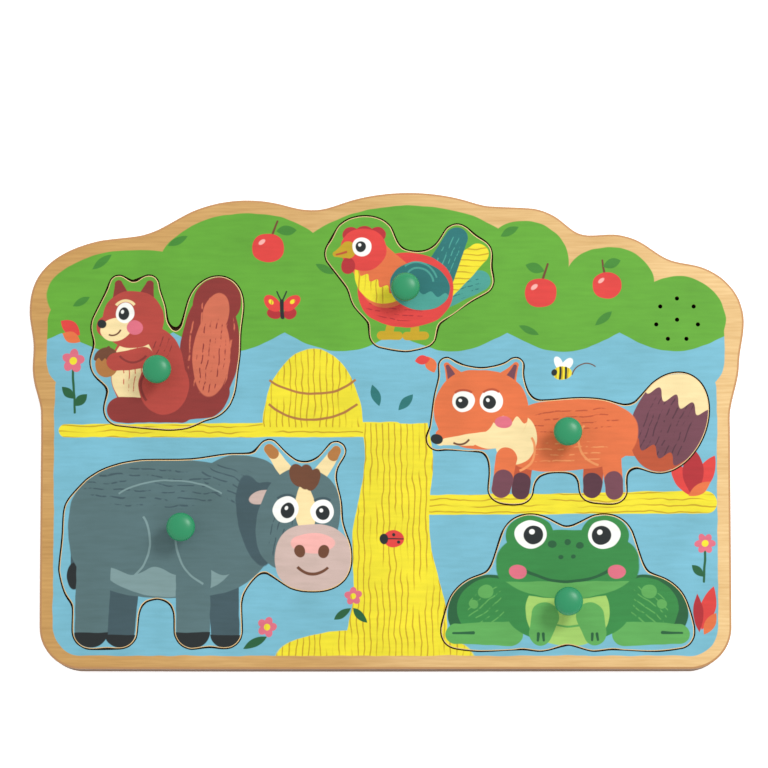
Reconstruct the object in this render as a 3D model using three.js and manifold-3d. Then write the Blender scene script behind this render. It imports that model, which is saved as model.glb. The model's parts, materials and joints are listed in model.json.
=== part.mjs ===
// A wooden sound puzzle for toddlers: five knobbed animal pieces lie in the cut-outs of a flat box
// with a leafy top edge. Lifting a piece lets light fall on the sensor under it, and a small
// circuit plays the animal's voice through the holes in the top right corner.
//
// Millimetres. +X runs along the picture, +Y up the picture and +Z out of its face.
// The origin is under the middle of the board, on the surface that the board lies on.

import * as THREE from 'three';
import { mergeVertices } from 'three/addons/utils/BufferGeometryUtils.js';
import Module from 'manifold-3d';

const wasm = await Module();
wasm.setup();

// The animals: the length and height of the drawing that each piece is cut round
const oxLength = 122;
const oxHeight = 86;
const squirrelLength = 62;
const squirrelHeight = 60;
const frogLength = 104;
const frogHeight = 52;
const foxLength = 116;
const foxHeight = 60;
const roosterLength = 68;
const roosterHeight = 48;

// How a piece is cut out of the printed sheet
const cutMargin = 2.2; // background left round the drawing
const cutGap = 0.5; // between a piece and its cut-out
const cutFillet = 8; // softens the inner corners of a cut line
const pieceEase = 0.4; // sanded edges of a piece

// The layout of the picture
const sideMargin = 5;
const bottomMargin = 5;
const topMargin = 9;
const middleStrip = 30.5;
const pieceSpacing = 8;
const squirrelInset = 10;

// The layers of the board, from the back
const backThickness = 3;
const spacerThickness = 12;
const floorThickness = 2.5;
const faceThickness = 4.5;
const borderWidth = 5.6; // bare wood round the print
const cornerRadius = 12; // of the print's lower corners
const valleyBlend = 10; // softens the valleys between the lobes
const spacerWall = 8;
const boardEase = 1; // sanded outer edge

// The knobs
const knobHeight = 14;
const knobHeadRadius = 6;
const knobHeadDepth = 5.4;
const knobNeckRadius = 2.9;
const knobBaseRadius = 4.6;
const knobBaseDepth = 0.8;
const knobSpigotRadius = 2.5;
const knobWidestShare = 0.62; // of the head's depth, from its top
const knobCrownShares = [0.6, 0.2]; // how far the crown stays flat, and how far down it stays wide
const knobSpigotShort = 0.4; // the spigot ends this far inside the piece

// The light sensors
const sensorNoseRadius = 2.1;
const sensorNoseHeight = 1.8;
const sensorFlangeRadius = 3.8;
const sensorFlangeDepth = 1.2;

// The speaker and its holes
const grilleHoleRadius = 0.9;
const grilleRingRadius = 9;
const grilleRingCount = 7;
const speakerRadius = 14.5;
const speakerRim = 2;
const speakerRimDepth = 0.9;
const speakerDepth = 5.2;
const speakerSkin = 0.7;
const gasketDepth = 1;
const magnetRadius = 7;
const magnetDepth = 3.4;
const coneSkin = 0.4;
const coneHollow = 2.2;
const capRadius = 3.4;

// The circuit board
const circuitLength = 62;
const circuitWidth = 28;
const circuitThickness = 1.6;
const circuitCorner = 1.5;
const bushRadius = 2.5;
const bushHeight = 2;
const bushInset = 4;
const chipRadius = 5;
const chipHeight = 1.3;
const capacitorRadius = 2.5;
const capacitorHeight = 5.2;

// The battery box and its door
const cellRadius = 5.25;
const cellBodyLength = 43.6;
const nubRadius = 1.9;
const nubLength = 0.9;
const cellSpacing = 1;
const bayClearance = 0.4;
const boxWall = 1.4;
const boxRoof = 1;
const ledgeWidth = 1.6;
const doorThickness = 1.8;
const doorSink = 0.2; // the door lies this far inside the back
const doorGap = 0.4;
const doorCorner = 1.5;
const doorScrewEnd = 8; // the end of the door that holds its screw
const tabWidth = 5;
const tabLength = 1.5;
const tabThickness = 0.9;
const gripWidth = 12;
const gripDepth = 0.5;
const gripLength = 1;
const gripSpacing = 2;
const gripInset = 2; // from the end of the bay to the first grip groove
const bossRadius = 2.8;
const bossHeight = 5;
const earLength = 8;
const earWidth = 7;
const earThickness = 1.6;
const boxFromBottom = 36; // from the bottom edge of the print to the middle of the box
const contactThickness = 0.5;
const contactSide = 7;
const springRadius = 3.2;
const springWire = 0.7;
const springLength = 4.6;
const springTurns = 3;

// Screws: radius of the shank, radius of the head, depth of the head, whole length
const backScrewShank = 1.5;
const backScrewHead = 3;
const backScrewHeadDepth = 1.7;
const backScrewLength = 13;
const backScrewSink = 0.3;
const smallScrewShank = 1;
const smallScrewHead = 2.2;
const smallScrewHeadDepth = 1.1;
const circuitScrewLength = 6.4;
const earScrewLength = 5.2;
const doorScrewLength = 5;
const screwTip = 1.2;

// The leads
const leadRadius = 0.7;
const leadStep = 5.6; // distance between two rings of a lead
const leadEndInset = 2.2; // how far a lead reaches over the circuit board

// Clearances and tool sizes
const seatGap = 0.3; // between two pieces that rest on each other or pass through
const cutOverrun = 2; // how far a cutting tool passes its work
const traceTolerance = 0.2; // a traced point closer to its chord than this is dropped
const traceStep = 3 * traceTolerance; // stride along a cut line while it is traced
const weldDistance = 0.001;

const roundSides = 16;
const holeSides = 10;
const arcSegments = 2;
const leadSegments = 4;

// The levels of the layers
const backTop = backThickness;
const spacerTop = backTop + spacerThickness;
const floorTop = spacerTop + floorThickness;
const faceTop = floorTop + faceThickness;

// Drawings are made of ovals and strokes. Ovals: middle x, y, half-width and half-height, then a
// tilt in degrees and a squareness (2 is an ellipse, more is boxier). Strokes: two ends and the
// radius at each end. Across and along they are shares of the drawing's length, up they are shares
// of its height, and the radii of a stroke are shares of its height.
const oxShares = {
  ovals: [
    [0.03, 0.33, 0.02, 0.06],
    [0.36, 0.56, 0.335, 0.315, 0, 2.6],
    [0.6, 0.68, 0.17, 0.22],
    [0.8, 0.6, 0.125, 0.235, -14, 2.3],
    [0.67, 0.72, 0.06, 0.05, 20],
    [0.85, 0.42, 0.115, 0.14, 0, 2.4],
  ],
  strokes: [
    [0.045, 0.64, 0.032, 0.38, 0.022, 0.016],
    [0.2, 0.3, 0.19, 0.06, 0.062, 0.056],
    [0.54, 0.3, 0.55, 0.06, 0.062, 0.056],
    [0.1, 0.42, 0.09, 0.065, 0.068, 0.064],
    [0.44, 0.34, 0.44, 0.065, 0.068, 0.064],
    [0.77, 0.82, 0.7, 0.95, 0.03, 0.02],
    [0.86, 0.8, 0.93, 0.94, 0.03, 0.02],
  ],
  knob: [0.4, 0.56],
};
const squirrelShares = {
  ovals: [
    [0.39, 0.34, 0.22, 0.29, 0, 2.1],
    [0.29, 0.71, 0.18, 0.17, 0, 2.1],
    [0.11, 0.41, 0.07, 0.09],
    [0.81, 0.5, 0.17, 0.36, -4, 2.1],
    [0.86, 0.83, 0.13, 0.15, -20],
  ],
  strokes: [
    [0.56, 0.12, 0.76, 0.2, 0.11, 0.16],
    [0.2, 0.07, 0.62, 0.07, 0.07, 0.07],
    [0.16, 0.68, 0.11, 0.66, 0.09, 0.06],
    [0.21, 0.84, 0.19, 0.96, 0.055, 0.022],
    [0.37, 0.84, 0.4, 0.96, 0.055, 0.022],
    [0.36, 0.44, 0.17, 0.41, 0.06, 0.05],
  ],
  knob: [0.46, 0.34],
};
const frogShares = {
  ovals: [
    [0.17, 0.28, 0.14, 0.23, 24],
    [0.83, 0.28, 0.14, 0.23, -24],
    [0.5, 0.42, 0.25, 0.38, 0, 2.4],
    [0.5, 0.64, 0.27, 0.24, 0, 2.5],
    [0.35, 0.87, 0.082, 0.13],
    [0.65, 0.87, 0.082, 0.13],
  ],
  strokes: [
    [0.05, 0.08, 0.27, 0.08, 0.065, 0.08],
    [0.73, 0.08, 0.95, 0.08, 0.08, 0.065],
    [0.41, 0.22, 0.39, 0.08, 0.09, 0.075],
    [0.59, 0.22, 0.61, 0.08, 0.09, 0.075],
  ],
  knob: [0.5, 0.33],
};
const foxShares = {
  ovals: [
    [0.5, 0.46, 0.24, 0.22, 4, 2.4],
    [0.87, 0.55, 0.115, 0.33, -24],
    [0.19, 0.64, 0.155, 0.25, 0, 2.2],
  ],
  strokes: [
    [0.34, 0.3, 0.33, 0.07, 0.055, 0.05],
    [0.66, 0.3, 0.67, 0.07, 0.055, 0.05],
    [0.28, 0.3, 0.26, 0.08, 0.06, 0.05],
    [0.6, 0.3, 0.59, 0.08, 0.06, 0.05],
    [0.66, 0.42, 0.82, 0.46, 0.08, 0.13],
    [0.1, 0.84, 0.065, 0.95, 0.06, 0.018],
    [0.28, 0.84, 0.315, 0.95, 0.06, 0.018],
    [0.1, 0.52, 0.03, 0.43, 0.1, 0.035],
  ],
  knob: [0.5, 0.47],
};
const roosterShares = {
  ovals: [
    [0.48, 0.44, 0.27, 0.29, 0, 2.2],
    [0.145, 0.93, 0.045, 0.055],
    [0.225, 0.945, 0.048, 0.055],
    [0.305, 0.93, 0.045, 0.055],
    [0.22, 0.8, 0.115, 0.15],
    [0.125, 0.655, 0.035, 0.06],
  ],
  strokes: [
    [0.66, 0.5, 0.8, 0.9, 0.12, 0.075],
    [0.68, 0.46, 0.93, 0.76, 0.12, 0.075],
    [0.68, 0.4, 0.94, 0.52, 0.12, 0.075],
    [0.34, 0.5, 0.24, 0.76, 0.24, 0.155],
    [0.4, 0.22, 0.38, 0.05, 0.03, 0.03],
    [0.54, 0.22, 0.54, 0.05, 0.03, 0.03],
    [0.33, 0.035, 0.44, 0.035, 0.03, 0.03],
    [0.49, 0.035, 0.6, 0.035, 0.03, 0.03],
    [0.12, 0.79, 0.045, 0.76, 0.06, 0.02],
  ],
  knob: [0.48, 0.44],
};

// The lobes of the leafy top: middle from the print's middle, height of the middle over the print's
// bottom edge, half-width and half-height, as shares of the print's width and height
const leftLobeShares = [-0.374, 0.797, 0.139, 0.104];
const tallLobeShares = [0.035, 0.84, 0.185, 0.16];
const speakerLobeShares = [0.441, 0.7447, 0.0735, 0.097];
const otherLobeShares = [
  [-0.21, 0.833, 0.142, 0.15],
  [0.21, 0.87, 0.068, 0.096],
  [0.338, 0.828, 0.068, 0.079],
];
const lobeShares = [leftLobeShares, tallLobeShares, speakerLobeShares, ...otherLobeShares];
// The shoulders, a little wider than the straight-sided lower part: middle height, half-width, half-height
const shoulderShares = [0.694, 0.512, 0.106];
const lowerPartShare = 0.65; // the lower part's height
// The places of the back screws along the wall, from its right side and up over the lobes
const backScrewShares = [0.04, 0.19, 0.35, 0.49, 0.655, 0.815, 0.975];

// The layout: two columns with a strip of background between them
const leftColumnWidth = Math.max(oxLength, squirrelInset + squirrelLength);
const rightColumnWidth = Math.max(foxLength, frogLength);
const printWidth = 2 * sideMargin + leftColumnWidth + middleStrip + rightColumnWidth;
const leftColumnStart = -printWidth / 2 + sideMargin;
const rightColumnMiddle = printWidth / 2 - sideMargin - rightColumnWidth / 2;
const stripMiddle = leftColumnStart + leftColumnWidth + middleStrip / 2;
const squirrelBottom = bottomMargin + oxHeight + pieceSpacing;
const foxBottom = bottomMargin + frogHeight + pieceSpacing;
const roosterBottom = foxBottom + foxHeight + pieceSpacing;
const leftLobeTopShare = leftLobeShares[1] + leftLobeShares[3];
const printHeight = Math.max(
  roosterBottom + roosterHeight + topMargin,
  (squirrelBottom + squirrelHeight + topMargin) / leftLobeTopShare,
);

const animals = {
  ox: { shares: oxShares, left: leftColumnStart, bottom: bottomMargin, length: oxLength, height: oxHeight, colour: 0x566e74 },
  squirrel: { shares: squirrelShares, left: leftColumnStart + squirrelInset, bottom: squirrelBottom,
    length: squirrelLength, height: squirrelHeight, colour: 0xb54238 },
  frog: { shares: frogShares, left: rightColumnMiddle - frogLength / 2, bottom: bottomMargin,
    length: frogLength, height: frogHeight, colour: 0x2c8442 },
  fox: { shares: foxShares, left: rightColumnMiddle - foxLength / 2, bottom: foxBottom,
    length: foxLength, height: foxHeight, colour: 0xe2703e },
  rooster: { shares: roosterShares, left: tallLobeShares[0] * printWidth - roosterLength / 2, bottom: roosterBottom,
    length: roosterLength, height: roosterHeight, colour: 0xe24240 },
};

// Distance fields of the drawings, positive outside

function ovalDistance(x, y, [middleX, middleY, halfWidth, halfHeight, tilt = 0, squareness = 2]) {
  const turn = THREE.MathUtils.degToRad(tilt);
  const along = (x - middleX) * Math.cos(turn) + (y - middleY) * Math.sin(turn);
  const across = (y - middleY) * Math.cos(turn) - (x - middleX) * Math.sin(turn);
  const u = Math.abs(along / halfWidth);
  const v = Math.abs(across / halfHeight);
  const reach = (u ** squareness + v ** squareness) ** (1 / squareness);
  if (reach === 0) return -Math.min(halfWidth, halfHeight);
  const slope = Math.hypot(u ** (squareness - 1) / halfWidth, v ** (squareness - 1) / halfHeight)
    * reach ** (1 - squareness);
  return (reach - 1) / slope;
}

function strokeDistance(x, y, [startX, startY, endX, endY, startRadius, endRadius]) {
  const runX = endX - startX;
  const runY = endY - startY;
  const share = ((x - startX) * runX + (y - startY) * runY) / (runX * runX + runY * runY);
  const t = THREE.MathUtils.clamp(share, 0, 1);
  return Math.hypot(x - startX - t * runX, y - startY - t * runY) - THREE.MathUtils.lerp(startRadius, endRadius, t);
}

function boxDistance(x, y, [middleX, middleY, halfWidth, halfHeight, radius]) {
  const u = Math.abs(x - middleX) - halfWidth + radius;
  const v = Math.abs(y - middleY) - halfHeight + radius;
  return Math.hypot(Math.max(u, 0), Math.max(v, 0)) + Math.min(Math.max(u, v), 0) - radius;
}

// Joins distances with a fillet of about a quarter of the blend in the corner between them
function softUnion(distances, blend) {
  return distances.reduce((a, b) => {
    const h = Math.max(blend - Math.abs(a - b), 0) / blend;
    return Math.min(a, b) - (h * h * blend) / 4;
  });
}

// The field of one animal, from its shares
function animalField({ shares, left, bottom, length, height }) {
  const ovals = shares.ovals.map(([x, y, halfWidth, halfHeight, ...rest]) =>
    [left + x * length, bottom + y * height, halfWidth * length, halfHeight * height, ...rest]);
  const strokes = shares.strokes.map(([x1, y1, x2, y2, r1, r2]) =>
    [left + x1 * length, bottom + y1 * height, left + x2 * length, bottom + y2 * height, r1 * height, r2 * height]);
  return (x, y) => softUnion(
    [...ovals.map((oval) => ovalDistance(x, y, oval)), ...strokes.map((stroke) => strokeDistance(x, y, stroke))],
    cutFillet,
  );
}

// The field of the printed area: lobes, shoulders and the straight-sided lower part
function boardField() {
  const lobes = lobeShares.map(([x, y, halfWidth, halfHeight]) =>
    [x * printWidth, y * printHeight, halfWidth * printWidth, halfHeight * printHeight]);
  const lowerHeight = lowerPartShare * printHeight;
  const lowerPart = [0, lowerHeight / 2, printWidth / 2, lowerHeight / 2, cornerRadius];
  const [middle, halfWidth, halfHeight] = shoulderShares;
  const shoulders = [0, middle * printHeight, halfWidth * printWidth, halfHeight * printHeight, cornerRadius];
  return (x, y) => softUnion(
    [...lobes.map((lobe) => ovalDistance(x, y, lobe)), boxDistance(x, y, shoulders), boxDistance(x, y, lowerPart)],
    valleyBlend,
  );
}

// The closed line that runs at a distance outside a drawing: found to the right of a point inside
// it, then followed round in short strides that are pulled back onto the line
function traceLine(field, offset, inside) {
  const probe = traceStep / 10;
  const slope = (p) => new THREE.Vector2(
    field(p.x + probe, p.y) - field(p.x - probe, p.y),
    field(p.x, p.y + probe) - field(p.x, p.y - probe),
  ).divideScalar(2 * probe);
  const pullBack = (p) => {
    for (let turn = 0; turn < 4; turn += 1) {
      const g = slope(p);
      p.addScaledVector(g, -(field(p.x, p.y) - offset) / g.lengthSq());
    }
    return p;
  };
  const start = inside.clone();
  const reach = printWidth + printHeight;
  start.x += reach;
  while (field(start.x, start.y) - offset > probe) start.x -= Math.min((field(start.x, start.y) - offset) / 2, reach);
  pullBack(start);
  const line = [start.clone()];
  const point = start.clone();
  let travelled = 0;
  do {
    const g = slope(point).normalize();
    point.add(new THREE.Vector2(-g.y, g.x).multiplyScalar(traceStep));
    pullBack(point);
    line.push(point.clone());
    travelled += traceStep;
  } while (travelled < 4 * traceStep || point.distanceTo(start) > traceStep);
  return thinOut(line);
}

// Drops the points of a closed line that lie on the chord between the ones that are kept
function thinOut(line) {
  const keep = new Set([0]);
  const chord = new THREE.Vector2();
  const split = (from, to) => {
    const a = line[from % line.length];
    const b = line[to % line.length];
    chord.subVectors(b, a);
    const length = chord.length();
    let farthest = from;
    let most = traceTolerance;
    for (let i = from + 1; i < to; i += 1) {
      const p = line[i];
      const off = Math.abs((p.x - a.x) * chord.y - (p.y - a.y) * chord.x) / length;
      if (off > most) {
        most = off;
        farthest = i;
      }
    }
    if (farthest === from) return;
    keep.add(farthest);
    split(from, farthest);
    split(farthest, to);
  };
  const half = Math.floor(line.length / 2);
  keep.add(half);
  split(0, half);
  split(half, line.length);
  return [...keep].sort((a, b) => a - b).map((i) => line[i]);
}

// Solids and geometries

function toSolid(geometry) {
  const bare = new THREE.BufferGeometry();
  bare.setAttribute('position', geometry.getAttribute('position'));
  if (geometry.index) bare.setIndex(geometry.index);
  const merged = mergeVertices(bare, weldDistance);
  return new wasm.Manifold(new wasm.Mesh({
    numProp: 3,
    vertProperties: merged.getAttribute('position').array,
    triVerts: new Uint32Array(merged.index.array),
  }));
}

function toGeometry(solid) {
  const mesh = solid.getMesh();
  const geometry = new THREE.BufferGeometry();
  geometry.setAttribute('position', new THREE.BufferAttribute(mesh.vertProperties, 3));
  geometry.setIndex(new THREE.BufferAttribute(mesh.triVerts, 1));
  return geometry;
}

// A geometry with tools cut out of it
function cut(geometry, tools) {
  return toGeometry(tools.reduce((solid, tool) => solid.subtract(toSolid(tool)), toSolid(geometry)));
}

function join(geometries) {
  return toGeometry(geometries.map(toSolid).reduce((a, b) => a.add(b)));
}

function plate(shape, bottom, top) {
  return new THREE.ExtrudeGeometry(shape, { depth: top - bottom, bevelEnabled: false, curveSegments: arcSegments })
    .translate(0, 0, bottom);
}

// A plate whose top and bottom edges are sanded
function easedPlate(shape, bottom, top, ease) {
  return new THREE.ExtrudeGeometry(shape, {
    depth: top - bottom - 2 * ease,
    bevelThickness: ease,
    bevelSize: ease,
    bevelOffset: -ease,
    bevelSegments: 1,
  }).translate(0, 0, bottom + ease);
}

function block(left, right, front, rear, bottom, top) {
  return new THREE.BoxGeometry(right - left, rear - front, top - bottom)
    .translate((left + right) / 2, (front + rear) / 2, (bottom + top) / 2);
}

// An upright turned part, from its outline of [radius, height] pairs
function turned(outline, x, y, sides = roundSides) {
  const points = outline.map(([radius, height]) => new THREE.Vector2(radius, height));
  return new THREE.LatheGeometry(points, sides).rotateX(Math.PI / 2).translate(x, y, 0);
}

function rod(x, y, radius, bottom, top, sides = holeSides) {
  return turned([[0, bottom], [radius, bottom], [radius, top], [0, top]], x, y, sides);
}

function roundedRectangle(left, right, front, rear, radius) {
  const shape = new THREE.Shape();
  shape.absarc(right - radius, rear - radius, radius, 0, Math.PI / 2);
  shape.absarc(left + radius, rear - radius, radius, Math.PI / 2, Math.PI);
  shape.absarc(left + radius, front + radius, radius, Math.PI, 1.5 * Math.PI);
  shape.absarc(right - radius, front + radius, radius, 1.5 * Math.PI, 2 * Math.PI);
  return shape;
}

// The whole model

const group = new THREE.Group();

function addPart(name, geometry, colour, roughness, metalness = 0) {
  const mesh = new THREE.Mesh(geometry, new THREE.MeshStandardMaterial({ color: colour, roughness, metalness }));
  mesh.name = name;
  group.add(mesh);
}

const plywood = 0xd9b47c;
const fibreboard = 0xa98a62;
const steel = 0xb9bcc0;
const knobGreen = 0x2a9462;

const field = boardField();
const heart = new THREE.Vector2(0, printHeight / 2);
const outerLine = traceLine(field, borderWidth, heart);

for (const animal of Object.values(animals)) {
  const { shares, left, bottom, length, height } = animal;
  animal.knob = new THREE.Vector2(left + shares.knob[0] * length, bottom + shares.knob[1] * height);
  animal.pieceLine = traceLine(animalField(animal), cutMargin, animal.knob);
  animal.recessLine = traceLine(animalField(animal), cutMargin + cutGap, animal.knob);
}

const grilleCentre = new THREE.Vector2(speakerLobeShares[0] * printWidth, speakerLobeShares[1] * printHeight);
const grilleHoles = [grilleCentre];
for (let i = 0; i < grilleRingCount; i += 1) {
  const angle = ((i + 0.5) * 2 * Math.PI) / grilleRingCount - Math.PI / 2;
  grilleHoles.push(new THREE.Vector2(
    grilleCentre.x + grilleRingRadius * Math.cos(angle),
    grilleCentre.y + grilleRingRadius * Math.sin(angle),
  ));
}
const grilleSides = 7;
const grilleTools = grilleHoles.map(({ x, y }) =>
  rod(x, y, grilleHoleRadius, spacerTop - cutOverrun, faceTop + cutOverrun, grilleSides));

// The printed face, with a cut-out for each piece. Its edges are sanded on the front alone.
function makeFacePlate() {
  const sanded = easedPlate(new THREE.Shape(outerLine), floorTop - cutOverrun, faceTop, boardEase);
  const waste = block(-printWidth, printWidth, -printHeight, 2 * printHeight, floorTop - 2 * cutOverrun, floorTop);
  const recesses = Object.values(animals).map(({ recessLine }) =>
    plate(new THREE.Shape(recessLine), floorTop - cutOverrun, faceTop + cutOverrun));
  addPart('face_plate', cut(sanded, [waste, ...recesses, ...grilleTools]), plywood, 0.5);
}

// The circuit board hangs under the floor of the cut-outs, in the strip between the columns
const circuitMiddle = new THREE.Vector2(stripMiddle, foxBottom + circuitWidth / 2 + pieceSpacing);
const circuitTop = spacerTop - bushHeight;
const circuitBottom = circuitTop - circuitThickness;
const circuitLeft = circuitMiddle.x - circuitLength / 2;
const circuitRight = circuitMiddle.x + circuitLength / 2;
const circuitFront = circuitMiddle.y - circuitWidth / 2;
const circuitRear = circuitMiddle.y + circuitWidth / 2;
const circuitScrewPlaces = [
  new THREE.Vector2(circuitLeft + bushInset, circuitRear - bushInset),
  new THREE.Vector2(circuitRight - bushInset, circuitFront + bushInset),
];

// The floor that the pieces lie on, with a window for each sensor
function makeRecessFloor() {
  const windows = Object.values(animals).map(({ knob }) =>
    rod(knob.x, knob.y, sensorNoseRadius + seatGap, spacerTop - cutOverrun, floorTop + cutOverrun));
  const pilots = circuitScrewPlaces.map(({ x, y }) =>
    rod(x, y, smallScrewShank + seatGap, spacerTop - cutOverrun, floorTop - seatGap));
  const whole = plate(new THREE.Shape(outerLine), spacerTop, floorTop);
  addPart('recess_floor', cut(whole, [...windows, ...pilots, ...grilleTools]), fibreboard, 0.7);
}

// The back screws stand along the middle of the spacer's wall
const wallLine = new THREE.Shape(traceLine(field, borderWidth - spacerWall / 2, heart));
const backScrewPlaces = backScrewShares.map((share) => wallLine.getPoint(share));

function makeSpacerFrame() {
  const shape = new THREE.Shape(outerLine);
  shape.holes.push(new THREE.Path(traceLine(field, borderWidth - spacerWall, heart)));
  const pilots = backScrewPlaces.map(({ x, y }) =>
    rod(x, y, backScrewShank + seatGap, backTop - cutOverrun, backScrewSink + backScrewLength + seatGap));
  addPart('spacer_frame', cut(plate(shape, backTop, spacerTop), pilots), fibreboard, 0.8);
}

// The battery box, whose length runs along X

const bayWidth = 4 * cellRadius + cellSpacing + 2 * bayClearance;
const cellLength = cellBodyLength + nubLength;
const bayLength = cellLength + contactThickness + springLength + 4 * seatGap;
const boxMiddle = new THREE.Vector2(stripMiddle - doorScrewEnd / 2, boxFromBottom);
const bayLeft = boxMiddle.x - bayLength / 2;
const bayRight = boxMiddle.x + bayLength / 2;
const bayFront = boxMiddle.y - bayWidth / 2;
const bayRear = boxMiddle.y + bayWidth / 2;
const doorLeft = bayLeft - ledgeWidth;
const doorRight = bayRight + ledgeWidth + doorScrewEnd;
const doorFront = bayFront - ledgeWidth;
const doorRear = bayRear + ledgeWidth;
const doorTop = doorSink + doorThickness;
const ledgeLevel = doorTop + seatGap;
const cellLevel = ledgeLevel + seatGap + cellRadius;
const bayTop = cellLevel + cellRadius + seatGap;
const rimReach = doorGap + boxWall;
const doorScrewX = doorRight - doorScrewEnd / 2;
const tabPlaces = [boxMiddle.y - bayWidth / 4, boxMiddle.y + bayWidth / 4];
const earPlaces = [
  new THREE.Vector2(boxMiddle.x, doorFront - rimReach - earWidth / 2),
  new THREE.Vector2(boxMiddle.x, doorRear + rimReach + earWidth / 2),
];

function makeBatteryBox() {
  const rim = plate(
    roundedRectangle(doorLeft - rimReach, doorRight + rimReach, doorFront - rimReach, doorRear + rimReach, doorCorner + rimReach),
    doorSink, backTop + earThickness,
  );
  const body = plate(
    roundedRectangle(bayLeft - boxWall, bayRight + boxWall, bayFront - boxWall, bayRear + boxWall, doorCorner + boxWall),
    backTop, bayTop + boxRoof,
  );
  const boss = rod(doorScrewX, boxMiddle.y, bossRadius, ledgeLevel, ledgeLevel + bossHeight);
  const ears = earPlaces.map(({ x, y }, i) => {
    const inward = i === 0 ? cutOverrun : 0;
    const outward = i === 0 ? 0 : cutOverrun;
    return block(x - earLength / 2, x + earLength / 2, y - earWidth / 2 - outward, y + earWidth / 2 + inward,
      backTop, backTop + earThickness);
  });
  const bay = block(bayLeft, bayRight, bayFront, bayRear, -cutOverrun, bayTop);
  const doorSeat = plate(
    roundedRectangle(doorLeft - doorGap, doorRight + doorGap, doorFront - doorGap, doorRear + doorGap, doorCorner + doorGap),
    doorSink - cutOverrun, ledgeLevel,
  );
  const slots = tabPlaces.map((y) => block(
    doorLeft - rimReach - cutOverrun, doorLeft + doorGap,
    y - tabWidth / 2 - doorGap, y + tabWidth / 2 + doorGap,
    doorTop - tabThickness - seatGap, backTop + doorGap,
  ));
  const screwHole = rod(doorScrewX, boxMiddle.y, smallScrewShank + doorGap, 0, doorSink + doorScrewLength + doorGap);
  const earHoles = earPlaces.map(({ x, y }) => rod(x, y, smallScrewShank + seatGap, backTop - cutOverrun, spacerTop));
  const solid = join([rim, body, boss, ...ears]);
  addPart('battery_box', cut(solid, [bay, doorSeat, ...slots, screwHole, ...earHoles]), 0x2b2d30, 0.5);
}

function makeBackPlate() {
  const shape = new THREE.Shape(outerLine);
  const reach = rimReach + seatGap;
  shape.holes.push(roundedRectangle(doorLeft - reach, doorRight + reach, doorFront - reach, doorRear + reach, doorCorner + reach));
  const whole = plate(shape, 0, backTop);
  const sinks = backScrewPlaces.map(({ x, y }) => turned([
    [0, -cutOverrun],
    [backScrewHead + seatGap, -cutOverrun],
    [backScrewHead + seatGap, backScrewSink],
    [backScrewShank + seatGap, backScrewSink + backScrewHeadDepth],
    [backScrewShank + seatGap, backTop + cutOverrun],
    [0, backTop + cutOverrun],
  ], x, y, holeSides));
  const pilots = earPlaces.map(({ x, y }) => rod(x, y, smallScrewShank + seatGap, doorSink, backTop + cutOverrun));
  addPart('back_plate', cut(whole, [...sinks, ...pilots]), fibreboard, 0.7);
}

// A door with two tabs at one end and a screw at the other
function makeBatteryDoor() {
  const leaf = plate(roundedRectangle(doorLeft, doorRight, doorFront, doorRear, doorCorner), doorSink, doorTop);
  const tabs = tabPlaces.map((y) => block(
    doorLeft - tabLength, doorLeft + cutOverrun, y - tabWidth / 2, y + tabWidth / 2, doorTop - tabThickness, doorTop,
  ));
  const sink = turned([
    [0, -cutOverrun],
    [smallScrewHead + seatGap, -cutOverrun],
    [smallScrewHead + seatGap, doorSink + smallScrewHeadDepth],
    [smallScrewShank + seatGap, doorSink + smallScrewHeadDepth],
    [smallScrewShank + seatGap, doorTop + cutOverrun],
    [0, doorTop + cutOverrun],
  ], doorScrewX, boxMiddle.y, holeSides);
  const grips = [0, 1, 2].map((i) => {
    const end = bayRight - gripInset - i * gripSpacing;
    return block(end - gripLength, end, boxMiddle.y - gripWidth / 2, boxMiddle.y + gripWidth / 2, 0, doorSink + gripDepth);
  });
  addPart('battery_door', cut(join([leaf, ...tabs]), [sink, ...grips]), 0x2b2d30, 0.45);
}

// A pan-head screw that points up from the level of its head's face, or down with direction -1
function panScrew(x, y, face, length, direction = 1) {
  const outline = [
    [0, 0],
    [smallScrewHead, 0],
    [smallScrewHead, smallScrewHeadDepth],
    [smallScrewShank, smallScrewHeadDepth],
    [smallScrewShank, length - screwTip],
    [0, length],
  ];
  const screw = turned(outline, 0, 0, holeSides);
  if (direction < 0) screw.rotateX(Math.PI);
  return screw.translate(x, y, face);
}

function makeScrews() {
  backScrewPlaces.forEach(({ x, y }, i) => {
    const outline = [
      [0, backScrewSink],
      [backScrewHead, backScrewSink],
      [backScrewShank, backScrewSink + backScrewHeadDepth - seatGap],
      [backScrewShank, backScrewSink + backScrewLength - 2 * screwTip],
      [0, backScrewSink + backScrewLength],
    ];
    addPart(`back_screw_${i + 1}`, turned(outline, x, y, holeSides), steel, 0.35, 0.9);
  });
  earPlaces.forEach(({ x, y }, i) => {
    const face = backTop + earThickness + smallScrewHeadDepth;
    const screw = panScrew(x, y, face, earScrewLength, -1);
    addPart(`box_screw_${i + 1}`, screw, steel, 0.35, 0.9);
  });
  const doorScrew = panScrew(doorScrewX, boxMiddle.y, doorSink, doorScrewLength);
  addPart('door_screw', doorScrew, steel, 0.35, 0.9);
  circuitScrewPlaces.forEach(({ x, y }, i) => {
    const face = circuitBottom - smallScrewHeadDepth;
    addPart(`circuit_screw_${i + 1}`, panScrew(x, y, face, circuitScrewLength), steel, 0.35, 0.9);
    const bush = cut(
      rod(x, y, bushRadius, circuitTop, spacerTop),
      [rod(x, y, smallScrewShank + seatGap, circuitTop - cutOverrun, spacerTop + cutOverrun)],
    );
    addPart(`circuit_bush_${i + 1}`, bush, 0xe8e4da, 0.5);
  });
}

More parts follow.
